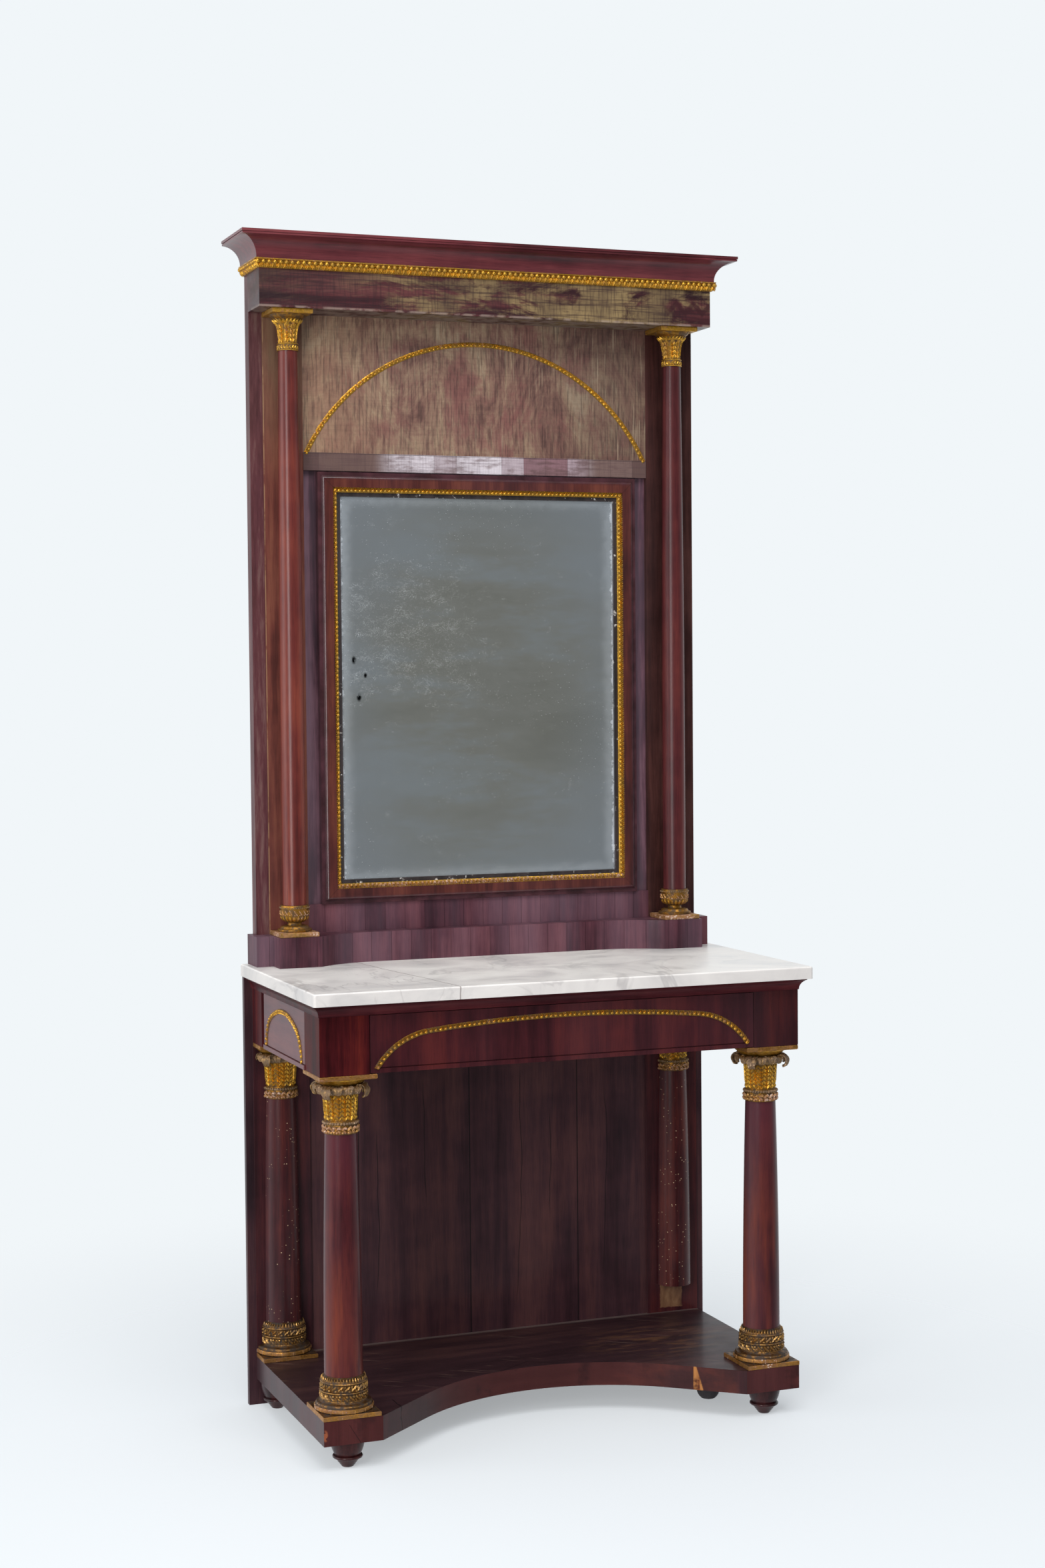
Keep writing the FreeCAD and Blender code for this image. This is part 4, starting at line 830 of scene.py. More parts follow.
def block_fronts(f, colour, drift):
    """The square blocks are redder in front and blotched. The left one is split and broken."""
    front = f.span(f.facing("Y"), -0.9, -0.7, 1.0, 0.0)
    blotch = f.span(f.cloud(16, detail=4), 0.5, 0.68, 0.0, 0.7)
    aslant = f.plus(f.axis("X"), f.times(f.minus(f.axis("Z"), 0.0765), 0.63))
    from_split = f.off(f.plus(f.plus(aslant, f.times(drift, 0.5)), 0.465))
    split = f.times(f.span(from_split, 0.0, 0.001, 1.0, 0.0),
                    f.span(f.axis("Z"), 0.094, 0.099, 1.0, 0.0))
    broken = f.times(f.within((-0.527, -0.26, 0.079), (0.005, 1.0, 0.011), 0.3),
                     f.span(f.cloud(150), 0.44, 0.5))
    colour = f.mix(f.times(front, 0.35), colour, (86, 32, 26))
    colour = f.mix(f.times(front, blotch), colour, (36, 14, 16))
    colour = f.mix(f.times(split, front), colour, (14, 7, 8))
    return f.mix(f.times(broken, front), colour, (138, 74, 46))


def platform_wear(f, colour, rough, height):
    """The floor and the fronts over plain crossbanding, with a crack and a chip cut into it."""
    up = f.span(f.facing("Z"), 0.6, 0.9)
    drift = f.times(f.minus(f.cloud(40, detail=3), 0.5), 0.012)
    crack, chip = front_crack(f, drift), edge_chip(f, up)
    colour = f.mix(up, curved_front(f, colour), worn_floor(f))
    colour = f.mix(crack, colour, (10, 6, 8))
    colour = f.mix(chip, colour, bare_wood(f))
    colour = block_fronts(f, colour, drift)
    height = f.minus(height, f.times(f.most(crack, chip), 3.0))
    return colour, f.plus(rough, f.times(up, 0.06)), height


veneer("platform_mahogany", ((28, 12, 15), (52, 23, 26), (74, 37, 37)), leaf=0.05, haze=0.1,
       haze_and_sheen_tone=(104, 86, 94), extra=platform_wear)
print("finishes mixed:", len(finishes))

# %% [markdown]
# ## Giving the joinery its finish
#
# The joiner's pieces keep their shape, so each only needs a material in its slot. One table says
# which piece gets which finish. The corner post, stile and slender column on the right stand in
# the shade of the room, and are painted darker than those on the left for that shade, so they
# have finishes of their own. The last line of the cell lists the pieces that are still without
# one: the carver makes those anew.

# %% Finish of each joiner's piece
PIECE_FINISH = {
    "upright_mahogany": ["corner_post_left", "rear_post_left", "rear_post_right"],
    "shaded_upright_mahogany": ["corner_post_right"],
    "shaded_stile_mahogany": ["stile_right"],
    "pilaster_mahogany": ["pilaster_left", "pilaster_right"],
    "stile_mahogany": ["stile_left"],
    "frame_mahogany": ["mirror_frame"],
    "lengthwise_mahogany": ["cornice"],
    "moulding_mahogany": ["top_moulding"],
    "return_mahogany": ["side_rail_left", "side_rail_right"],
    "crossbanded_mahogany": ["mirror_base", "bottom_rail"],
    "drawer_front_mahogany": ["drawer_front"],
    "platform_mahogany": ["platform"],
    "shaft_mahogany": ["column_front_left", "column_front_right"],
    "wormed_mahogany": ["half_column_left", "half_column_right"],
    "slender_mahogany": ["slender_column_left"],
    "shaded_slender_mahogany": ["slender_column_right"],
    "board_mahogany": ["back_board"],
    "bleached_frieze": ["frieze_box"],
    "bleached_panel": ["tympanum_panel"],
    "old_silvering": ["mirror_glass"],
    "white_marble": ["marble_top"],
    "foot_mahogany": ["foot_front_left", "foot_front_right", "foot_rear_left", "foot_rear_right"],
    "chipped_slip": ["mirror_slip"],
    "grey_bearer": ["bun_feet"],
    "pine": ["drawer_side_left", "drawer_side_right", "drawer_runners"],
    "pine_across": ["drawer_bottom", "drawer_back", "top_rail"],
    "bay_mahogany": ["mirror_backing"],
}
for finish_name, piece_names in PIECE_FINISH.items():
    for piece_name in piece_names:
        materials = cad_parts[piece_name].data.materials
        materials.clear()
        materials.append(finishes[finish_name])
finished = {name for names in PIECE_FINISH.values() for name in names}
carved_later = sorted(set(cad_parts) - finished)
print("left to the carver:", carved_later)

# %% [markdown]
# ## Tools of the carver
#
# Three kinds of mesh make most of the carving. A turned core is a profile spun about an axis. A
# blade is one cut of the gouge: a slim ridge with four sides, pointed at both ends. A ball is a
# round bead. Shapes are lists of corners and faces in millimetres until the piece is finished.

# %% Blades and balls
MM = 0.001
BLADE_STATIONS = ((0.28, 0.85), (0.62, 0.8))    # share of the way, share of the full size
BLADE_SINK = 0.6


def joined(*shapes):
    """Several shapes as one list of corners and faces."""
    corners, faces = [], []
    for more_corners, more_faces in shapes:
        start = len(corners)
        corners.extend(more_corners)
        faces.extend([tuple(start + i for i in face) for face in more_faces])
    return corners, faces


def moved(shape, change):
    """A shape with every corner changed in the same way."""
    return [change(Vector(c)) for c in shape[0]], shape[1]


def blade(start, end, width, rise):
    """A ridge from start to end, pointed at both, with its underside sunk into the ground."""
    start, end = Vector(start), Vector(end)
    run = (end - start).normalized()
    side = run.cross(Vector((0, 0, 1))).normalized()
    corners = [start]
    for share, fullness in BLADE_STATIONS:
        middle = start.lerp(end, share)
        half = side * width / 2 * fullness
        corners += [middle - half, middle + Vector((0, 0, rise * fullness)), middle + half,
                    middle - Vector((0, 0, BLADE_SINK))]
    corners.append(end)
    faces = []
    for i in range(4):
        j = (i + 1) % 4
        faces.append((0, 1 + j, 1 + i))
        faces.append((1 + i, 1 + j, 5 + j, 5 + i))
        faces.append((5 + i, 5 + j, 9))
    return corners, faces


def ball(centre, radius, around=8, rings=4):
    """A bead with its poles up and down."""
    centre = Vector(centre)
    corners = [centre + Vector((0, 0, radius))]
    for ring in range(1, rings):
        lean = math.pi * ring / rings
        for step in range(around):
            turn = math.tau * step / around
            corners.append(centre + radius * Vector((math.sin(lean) * math.cos(turn),
                                                     math.sin(lean) * math.sin(turn),
                                                     math.cos(lean))))
    corners.append(centre - Vector((0, 0, radius)))
    last = len(corners) - 1
    faces = []
    for step in range(around):
        after = (step + 1) % around
        faces.append((0, 1 + step, 1 + after))
        for ring in range(rings - 2):
            low = 1 + ring * around
            faces.append((low + step, low + around + step, low + around + after, low + after))
        low = 1 + (rings - 2) * around
        faces.append((low + step, last, low + after))
    return corners, faces


print("one blade has", len(blade((0, 0, 0), (0, 8, 0), 4, 3)[1]), "faces, one ball",
      len(ball((0, 0, 0), 3)[1]))

# %% Turned cores and soft lines
def turned(profile, around=72):
    """A closed solid from (radius, height) corners, bottom to top, both ends on the axis."""
    corners = [Vector((0, 0, profile[0][1]))]
    for radius, level in profile:
        for step in range(around):
            turn = math.tau * step / around
            corners.append(Vector((radius * math.cos(turn), radius * math.sin(turn), level)))
    corners.append(Vector((0, 0, profile[-1][1])))
    last = len(corners) - 1
    faces = []
    for step in range(around):
        after = (step + 1) % around
        faces.append((0, 1 + after, 1 + step))
        for ring in range(len(profile) - 1):
            low = 1 + ring * around
            faces.append((low + step, low + after, low + around + after, low + around + step))
        low = 1 + (len(profile) - 1) * around
        faces.append((low + step, low + after, last))
    return corners, faces


def smooth_line(points, steps=6):
    """A soft curve through the points, as a longer list of points."""
    points = [Vector(p) for p in points]
    padded = [points[0]] + points + [points[-1]]
    line = []
    for i in range(1, len(padded) - 2):
        a, b, c, d = padded[i - 1:i + 3]
        for step in range(steps):
            t = step / steps
            line.append(0.5 * (2 * b + (c - a) * t + (2 * a - 5 * b + 4 * c - d) * t * t
                               + (3 * b - a - 3 * c + d) * t ** 3))
    line.append(points[-1])
    return line


print("a plain turned rod has", len(turned([(5, 0), (5, 20)])[1]), "faces")

# %% [markdown]
# A slab with eased edges serves for plinths and abaci, and a mitred strip for the ground that gilt
# ornament is glued to, and for thin hoops. The strip follows a flat path, and at each corner of
# the path its section is set on the mitre, so straight runs and bends stay the same width.

# %% Slabs and strips
SHARPEST_MITRE = 0.3


def slab(half_x, half_y, low, high, ease):
    """A square block whose edges are eased all round."""
    corners = []
    for inset, level in ((ease, low), (0, low + ease), (0, high - ease), (ease, high)):
        x, y = half_x - inset, half_y - inset
        corners += [(x, y, level), (-x, y, level), (-x, -y, level), (x, -y, level)]
    faces = [(3, 2, 1, 0), (12, 13, 14, 15)]
    for ring in range(3):
        for side in range(4):
            after = (side + 1) % 4
            below, above = ring * 4, ring * 4 + 4
            faces.append((below + side, below + after, above + after, above + side))
    return corners, faces


def strip(path, normal, section, closed=False):
    """A section of (across, out) corners swept along a flat path on the mitre."""
    path = [Vector(p) for p in path]
    normal = Vector(normal)
    count = len(path)
    corners = []
    for i, point in enumerate(path):
        before = path[i - 1] if i or closed else None
        after = path[(i + 1) % count] if i < count - 1 or closed else None
        runs = []
        if before is not None:
            runs.append((point - before).normalized())
        if after is not None:
            runs.append((after - point).normalized())
        sides = [normal.cross(run).normalized() for run in runs]
        mitre = sum(sides, Vector()).normalized()
        mitre /= max(mitre.dot(sides[0]), SHARPEST_MITRE)
        corners += [point + mitre * across + normal * out for across, out in section]
    faces = []
    size = len(section)
    for i in range(count if closed else count - 1):
        here, there = i * size, (i + 1) % count * size
        for k in range(size):
            m = (k + 1) % size
            faces.append((here + k, here + m, there + m, there + k))
    if not closed:
        faces.append(tuple(range(size))[::-1])
        faces.append(tuple((count - 1) * size + k for k in range(size)))
    return corners, faces


print("an eased slab has", len(slab(60, 60, 0, 10, 1)[1]), "faces")

# %% [markdown]
# Mesh work ends in two functions. The first turns millimetres into metres and points every face
# outwards.

# %% Making a piece
def as_mesh(name, shape):
    """A shape as a mesh in metres, with its faces pointing outwards."""
    mesh = bpy.data.meshes.new(name)
    mesh.from_pydata([Vector(c) * MM for c in shape[0]], [], shape[1])
    work = bmesh.new()
    work.from_mesh(mesh)
    bmesh.ops.recalc_face_normals(work, faces=work.faces)
    work.to_mesh(mesh)
    work.free()
    return mesh


def make_piece(name, parts, body, stands_for=(), cut_behind=None, sharp=38):
    """parts are (mesh, finish name). cut_behind keeps what is in front of that Y, given in mm."""
    work = bmesh.new()
    order = []
    for mesh, finish in parts:
        if finish not in order:
            order.append(finish)
        before = len(work.faces)
        work.from_mesh(mesh)
        work.faces.ensure_lookup_table()
        for face in work.faces[before:]:
            face.material_index = order.index(finish)
            face.smooth = True
    if cut_behind is not None:
        everything = work.verts[:] + work.edges[:] + work.faces[:]
        cut = bmesh.ops.bisect_plane(work, geom=everything, plane_co=(0, cut_behind * MM, 0),
                                     plane_no=(0, 1, 0), clear_outer=True)
        rim = [e for e in cut["geom_cut"] if isinstance(e, bmesh.types.BMEdge)]
        bmesh.ops.holes_fill(work, edges=rim, sides=0)
    mesh = bpy.data.meshes.new(name)
    work.to_mesh(mesh)
    work.free()
    for finish in order:
        mesh.materials.append(finishes[finish])
    mesh.set_sharp_from_angle(angle=math.radians(sharp))
    piece = bpy.data.objects.new(name, mesh)
    bpy.context.scene.collection.objects.link(piece)
    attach(piece, body)
    if stands_for:
        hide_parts(*stands_for)
    mesh.calc_loop_triangles()
    print(f"{name}: {len(mesh.loop_triangles)} triangles")
    return piece


# %% [markdown]
# ## Ornament that repeats
#
# A carver cuts one leaf and repeats it along a line, or round an axis. Geometry Nodes does both
# without copying meshes by hand. The first tree walks a path: it turns the path into a curve, puts
# a point at every pitch, sets the unit on each point with its X along the path and its Z out of
# the surface, and varies the size a little, because hand work varies. The second sets the unit
# round an axis. Both end by realising the instances and setting the material.

# %% A small helper for trees
class Tree:
    """A geometry node tree under way."""

    def __init__(self, name, **inputs):
        self.group = bpy.data.node_groups.new(name, "GeometryNodeTree")
        self.group.interface.new_socket("Geometry", in_out="INPUT", socket_type="NodeSocketGeometry")
        for label, kind in inputs.items():
            self.group.interface.new_socket(label, in_out="INPUT", socket_type="NodeSocket" + kind)
        self.group.interface.new_socket("Geometry", in_out="OUTPUT", socket_type="NodeSocketGeometry")
        self.inputs = self.node("NodeGroupInput").outputs

    def node(self, kind, **settings):
        node = self.group.nodes.new(kind)
        for name, value in settings.items():
            setattr(node, name, value)
        return node

    def link(self, source, target):
        self.group.links.new(source, target)

    def end(self, instances):
        """Makes the instances real and sets their finish."""
        real = self.node("GeometryNodeRealizeInstances")
        paint = self.node("GeometryNodeSetMaterial")
        out = self.node("NodeGroupOutput")
        self.link(instances, real.inputs["Geometry"])
        self.link(real.outputs["Geometry"], paint.inputs["Geometry"])
        self.link(self.inputs["Finish"], paint.inputs["Material"])
        self.link(paint.outputs["Geometry"], out.inputs["Geometry"])
        return self.group

    def varied(self):
        """A size for each unit, near one."""
        size = self.node("FunctionNodeRandomValue", data_type="FLOAT")
        numbers = [s for s in size.inputs if s.type == "VALUE" and s.enabled]
        low = self.node("ShaderNodeMath", operation="SUBTRACT")
        low.inputs[0].default_value = 1.0
        self.link(self.inputs["Variation"], low.inputs[1])
        self.link(low.outputs[0], numbers[0])
        numbers[1].default_value = 1.0
        self.link(self.inputs["Seed"], size.inputs["Seed"])
        return next(s for s in size.outputs if s.enabled)

    def repeated(self, points, turn):
        """The unit on every point, turned, and each a little different in size."""
        unit = self.node("GeometryNodeObjectInfo")
        self.link(self.inputs["Unit"], unit.inputs["Object"])
        copies = self.node("GeometryNodeInstanceOnPoints")
        self.link(points, copies.inputs["Points"])
        self.link(unit.outputs["Geometry"], copies.inputs["Instance"])
        self.link(turn, copies.inputs["Rotation"])
        self.link(self.varied(), copies.inputs["Scale"])
        return copies.outputs["Instances"]


print("trees have named inputs")

# %% The run of carving
def build_run():
    """The unit along a path: its X follows the path and its Z points the way that is asked."""
    tree = Tree("run_of_carving", Unit="Object", Pitch="Float", Facing="Vector", Variation="Float",
                Seed="Int", Finish="Material")
    curve = tree.node("GeometryNodeMeshToCurve")
    spaced = tree.node("GeometryNodeResampleCurve", mode="LENGTH")
    tree.link(tree.inputs["Geometry"], curve.inputs["Mesh"])
    tree.link(curve.outputs["Curve"], spaced.inputs["Curve"])
    tree.link(tree.inputs["Pitch"], spaced.inputs["Length"])
    tangent = tree.node("GeometryNodeInputTangent")
    along = tree.node("FunctionNodeAlignRotationToVector", axis="X")
    out = tree.node("FunctionNodeAlignRotationToVector", axis="Z", pivot_axis="X")
    tree.link(tangent.outputs["Tangent"], along.inputs["Vector"])
    tree.link(along.outputs["Rotation"], out.inputs["Rotation"])
    tree.link(tree.inputs["Facing"], out.inputs["Vector"])
    return tree.end(tree.repeated(spaced.outputs["Curve"], out.outputs["Rotation"]))


RUN = build_run()
print("run tree:", len(RUN.nodes), "nodes")

# %% The ring of carving
def build_ring():
    """The unit, drawn at its place on the +X side, turned about Z in equal steps."""
    tree = Tree("ring_of_carving", Unit="Object", Count="Int", Start="Float", Variation="Float",
                Seed="Int", Finish="Material")
    points = tree.node("GeometryNodePoints")
    tree.link(tree.inputs["Count"], points.inputs["Count"])
    step = tree.node("ShaderNodeMath", operation="DIVIDE")
    step.inputs[0].default_value = math.tau
    tree.link(tree.inputs["Count"], step.inputs[1])
    angle = tree.node("ShaderNodeMath", operation="MULTIPLY_ADD")
    tree.link(tree.node("GeometryNodeInputIndex").outputs["Index"], angle.inputs[0])
    tree.link(step.outputs[0], angle.inputs[1])
    tree.link(tree.inputs["Start"], angle.inputs[2])
    turn = tree.node("ShaderNodeCombineXYZ")
    tree.link(angle.outputs[0], turn.inputs["Z"])
    return tree.end(tree.repeated(points.outputs[0], turn.outputs[0]))


RING = build_ring()
print("ring tree:", len(RING.nodes), "nodes")

# %% Growing a tree into a mesh
def grown(name, tree, unit, path=None, **inputs):
    """The tree's result on a path, as a plain mesh in metres. The unit is in millimetres."""
    unit_object = bpy.data.objects.new(name + "_unit", as_mesh(name + "_unit", unit))
    bpy.context.scene.collection.objects.link(unit_object)
    ground = bpy.data.meshes.new(name + "_path")
    if path:
        steps = [(i, i + 1) for i in range(len(path) - 1)]
        ground.from_pydata([Vector(p) * MM for p in path], steps, [])
    host = bpy.data.objects.new(name, ground)
    bpy.context.scene.collection.objects.link(host)
    modifier = host.modifiers.new("carving", "NODES")
    modifier.node_group = tree
    inputs["Unit"] = unit_object
    for socket in tree.interface.items_tree:
        if socket.name in inputs:
            modifier[socket.identifier] = inputs[socket.name]
    bpy.context.view_layer.update()
    depsgraph = bpy.context.evaluated_depsgraph_get()
    mesh = bpy.data.meshes.new_from_object(host.evaluated_get(depsgraph), depsgraph=depsgraph)
    host.modifiers.clear()
    bpy.data.objects.remove(host)
    bpy.data.objects.remove(unit_object)
    return mesh


trial = grown("trial_run", RUN, ball((0, 0, 0), 2), [(0, 0, 0), (100, 0, 0)], Pitch=10 * MM,
              Facing=(0, 0, 1), Variation=0.0, Seed=1, Finish=finishes["bright_gilding"])
print("a trial run of 100 mm has", len(trial.polygons), "faces")

# %% [markdown]
# ## Gilt leaf mouldings
#
# The gilt lines round the glass, on the arches and under the cornice are one family: a row of
# small balls with leaves that fall from each. On the arches and round the glass the leaves slant.
# The unit lies flat, X along the run, Y across it and Z out, and stands on a thin gilt ground.

# %% The leaf and ball, and the ground under it
def leaf_and_ball(scale):
    """A ball drawn out to an egg, with two leaves falling from it, slanted as a rope is."""
    egg = moved(ball((0, 0, 0), 1, 10, 6),
                lambda c: Vector((c.x * 4.0, c.y * 3.5 + 1.9, c.z * 3.3 + 1.0)))
    shape = joined(
        egg,
        blade((-3.6, 1.6, 0.2), (1.0, -6.2, 0.6), 4.6, 4.8),
        blade((1.0, 1.6, 0.2), (5.4, -5.6, 0.6), 4.2, 4.4))
    return moved(shape, lambda c: c * scale)


def band_section(width, thickness):
    """A flat band with its upper edges taken off."""
    half = width / 2
    return [(-half, 0), (half, 0), (half, thickness * 0.7), (half - 0.8, thickness),
            (-half + 0.8, thickness), (-half, thickness * 0.7)]


def arc(centre_x, centre_z, radius, first, last, steps):
    """Points along part of a circle, as (across, up)."""
    angles = [first + (last - first) * i / steps for i in range(steps + 1)]
    return [(centre_x + radius * math.cos(a), centre_z + radius * math.sin(a)) for a in angles]


def three_centred_arch(rise, shoulder, drop, end_radius, inset):
    """The middle line of a flat arch, right foot to left foot, as (across, up) points."""
    crown = (shoulder * shoulder + drop * drop) / (2 * drop)
    lean = math.atan2(shoulder, crown - drop)
    end_x = shoulder - end_radius * math.sin(lean)
    end_z = rise - drop - end_radius * math.cos(lean)
    radius = end_radius - inset
    foot = math.asin(-end_z / radius)
    right = arc(end_x, end_z, radius, foot, math.pi / 2 - lean, 10)
    top = arc(0, rise - crown, crown - inset, math.pi / 2 - lean, math.pi / 2 + lean, 16)
    left = [(-x, z) for x, z in reversed(right)]
    return right + top[1:-1] + left


def gilt_arch(name, line, to_space, normal, body, scale, finish, seed, under="old_gilding"):
    """Leaves on a thin ground along a flat line. to_space puts (across, up) where it belongs."""
    path = [to_space(u, v) for u, v in line]
    ground = as_mesh(name + "_ground", strip(path, normal, band_section(11 * scale, 1.4)))
    leaves = grown(name + "_leaves", RUN, leaf_and_ball(scale), path, Pitch=10.6 * scale * MM,
                   Facing=normal, Variation=0.1, Seed=seed, Finish=finishes[finish])
    make_piece(name, [(ground, under), (leaves, finish)], body,
               [name.replace("carved_", "")])


# %% The arches
ARCH_FOOT = 811
DRAWER_FACE, SIDE_FACE, SIDE_MIDDLE = -250, 530, 12.5
PANEL_FACE, PANEL_FOOT, PANEL_HALF, PANEL_RISE = 250, 2077, 404, 252
LINE_IN, FOOT_GAP = 5.5, 0.003    # millimetres inside the panel's arch, radians short of its foot


def on_side(sign):
    """Puts an arch on the outer face of a side rail."""
    return lambda u, v: (sign * SIDE_FACE, SIDE_MIDDLE + u, ARCH_FOOT + v)


drawer_line = three_centred_arch(rise=89, shoulder=300, drop=16, end_radius=158, inset=6)
gilt_arch("carved_drawer_arch", drawer_line, lambda u, v: (u, DRAWER_FACE, ARCH_FOOT + v),
          (0, -1, 0), "drawer", 0.98, "old_gilding", seed=3, under="shaded_gilding")
side_line = three_centred_arch(rise=90, shoulder=97, drop=22, end_radius=77, inset=6)
for side, sign, seed in (("left", -1, 5), ("right", 1, 7)):
    gilt_arch(f"carved_side_arch_{side}", side_line, on_side(sign), (sign, 0, 0), "console", 0.98,
              "old_gilding", seed, under="shaded_gilding")
arch_radius = (PANEL_HALF ** 2 + PANEL_RISE ** 2) / (2 * PANEL_RISE)
arch_lean = math.acos((arch_radius - PANEL_RISE) / arch_radius) - FOOT_GAP
panel_line = arc(0, PANEL_RISE - arch_radius, arch_radius - LINE_IN, math.pi / 2 - arch_lean,
                 math.pi / 2 + arch_lean, 48)
gilt_arch("carved_tympanum_arch", panel_line, lambda u, v: (u, PANEL_FACE, PANEL_FOOT + v),
          (0, -1, 0), "console", 0.94, "bright_gilding", seed=9)
print("arch of the panel: radius", round(arch_radius), "mm")

# %% [markdown]
# Round the glass the moulding slopes inwards, and it is mitred at the corners. Each side is a run
# of its own, because the slope faces another way on each.

# %% The sight edge
SIGHT_HALF, SIGHT_FOOT, SIGHT_HEAD, SIGHT_FACE = 342, 1127, 2002, 243
LEAVES_IN = 4.6


def rectangle(half, low, high, y):
    """Corners of an upright rectangle: left foot, left head, right head, right foot."""
    return [(-half, y, low), (-half, y, high), (half, y, high), (half, y, low)]


def sight_edge():
    section = [(1.0, 0.4), (0, 1.0), (-9.4, -2.6), (-10.4, -4), (-10.4, -12), (1.0, -12)]
    outer = rectangle(SIGHT_HALF, SIGHT_FOOT, SIGHT_HEAD, SIGHT_FACE)
    ground = as_mesh("sight_ground", strip(outer, (0, -1, 0), section, closed=True))
    parts = [(ground, "bright_gilding")]
    corners = rectangle(SIGHT_HALF - LEAVES_IN, SIGHT_FOOT + LEAVES_IN, SIGHT_HEAD - LEAVES_IN,
                        SIGHT_FACE + 0.8)
    slopes = [(0.3, -1, 0), (0, -1, -0.3), (-0.3, -1, 0), (0, -1, 0.3)]
    worn_foot = ("bright_gilding", "bright_gilding", "bright_gilding", "rubbed_gilding")
    for side, finish in enumerate(worn_foot):
        run = [corners[(side + 1) % 4], corners[side]]
        leaves = grown(f"sight_run_{side}", RUN, leaf_and_ball(1.04), run, Pitch=9.6 * MM,
                       Facing=slopes[side], Variation=0.12, Seed=20 + side,
                       Finish=finishes[finish])
        parts.append((leaves, finish))
    make_piece("carved_sight_edge", parts, "console", ["sight_edge"])


sight_edge()

# %% [markdown]
# Under the cornice the balls are larger. A splayed pair of leaves hangs from each, with a small
# leaf between, and the pairs meet tip to tip, so the lower edge makes a zigzag. The run goes along
# both returns and the front.

# %% The moulding under the cornice
CORNICE_HALF, CORNICE_FRONT, CORNICE_BACK = 524, 154, 283.5
LAST_LEAF, LEAVES_OUT = 276, 5.4


def hanging_leaf():
    return joined(
        ball((0, 5.4, 2.8), 5.0, 10, 6),
        blade((-1.4, 4.0, 1.4), (-5.6, -9.4, 0.8), 8.4, 4.4),
        blade((1.4, 4.0, 1.4), (5.6, -9.4, 0.8), 8.4, 4.4),
        blade((0, 2.0, 2.2), (0, -9.0, 1.6), 4.4, 3.4))


def three_sides(out, back, level):
    """Left return, front and right return of the frieze box, at a distance out from it."""
    x, y = CORNICE_HALF + out, CORNICE_FRONT - out
    return [(-x, back, level), (-x, y, level), (x, y, level), (x, back, level)]


def cornice_leaves():
    section = [(0, 0.2), (-3.4, 0.2), (-4.2, 2.6), (-3.6, 4.0), (-7.2, 16), (-10.6, 17.2),
               (-10.6, 19.8), (0, 19.8)]
    ground = as_mesh("cornice_leaf_ground",
                     strip(three_sides(0, CORNICE_BACK, 2452), (0, 0, 1), section))
    parts = [(ground, "old_gilding")]
    corners = three_sides(LEAVES_OUT, LAST_LEAF, 2460.6)
    facings = [(-1, 0, -0.3), (0, -1, -0.3), (1, 0, -0.3)]
    for side, finish in enumerate(("old_gilding", "bright_gilding", "old_gilding")):
        leaves = grown(f"cornice_run_{side}", RUN, hanging_leaf(), corners[side:side + 2],
                       Pitch=12.6 * MM, Facing=facings[side], Variation=0.08, Seed=30 + side,
                       Finish=finishes[finish])
        parts.append((leaves, finish))
    make_piece("carved_leaf_moulding", parts, "console", ["leaf_moulding"])


cornice_leaves()

# %% [markdown]
# ## Capitals of the console
#
# Each capital is a bell with sixteen upright sprays, which are stems with pairs of leaflets. A
# wreath and a row of beads run round its foot. A leaf droops over each spray at the rim, and a
# thick curled leaf hangs under each corner of the abacus. A unit is drawn flat, as (sideways,
# height, out), then bent onto the bell by one function, which is the trick that keeps every cut at
# the right depth. The bell itself is gilded dark, dirty and painted with the shade of the hollows
# between the sprays, and that makes the raised sprays read.

# %% Bending a flat carving onto a bell
def radius_at(profile, level):
    """The radius of a turned profile at a height."""
    for (r0, z0), (r1, z1) in zip(profile, profile[1:]):
        if z0 <= level <= z1 and z1 > z0:
            return r0 + (r1 - r0) * (level - z0) / (z1 - z0)
    return profile[-1][0] if level > profile[-1][1] else profile[0][0]


def bent_round(shape, profile):
    """A flat (sideways, height, out) carving laid on the turned profile at its +X side."""
    def onto(corner):
        radius = radius_at(profile, corner.y)
        angle = -corner.x / radius
        reach = radius + corner.z
        return Vector((reach * math.cos(angle), reach * math.sin(angle), corner.y))
    return moved(shape, onto)


print("the foot of a straight bell of 30 mm is at radius", radius_at([(30, 0), (30, 9)], 0))

# %% Sprays and curled leaves
def spray(low, high, pairs, reach, width, rise):
    """A stem with pairs of leaflets that point up and outwards."""
    shapes = [blade((0, low, 0), (0, high, 0.4), 1.9, rise + 0.9)]
    step = (high - low) * 0.86 / pairs
    for k in range(pairs):
        foot = low + k * step
        for side in (-1, 1):
            tip = (side * reach, foot + step * 1.25, 0.1)
            shapes.append(blade((side * 0.5, foot, 0.1), tip, width, rise))
    shapes.append(blade((0, high - step, 0.3), (0, high + step * 0.5, 0.5), width * 1.3, rise + 0.6))
    return joined(*shapes)


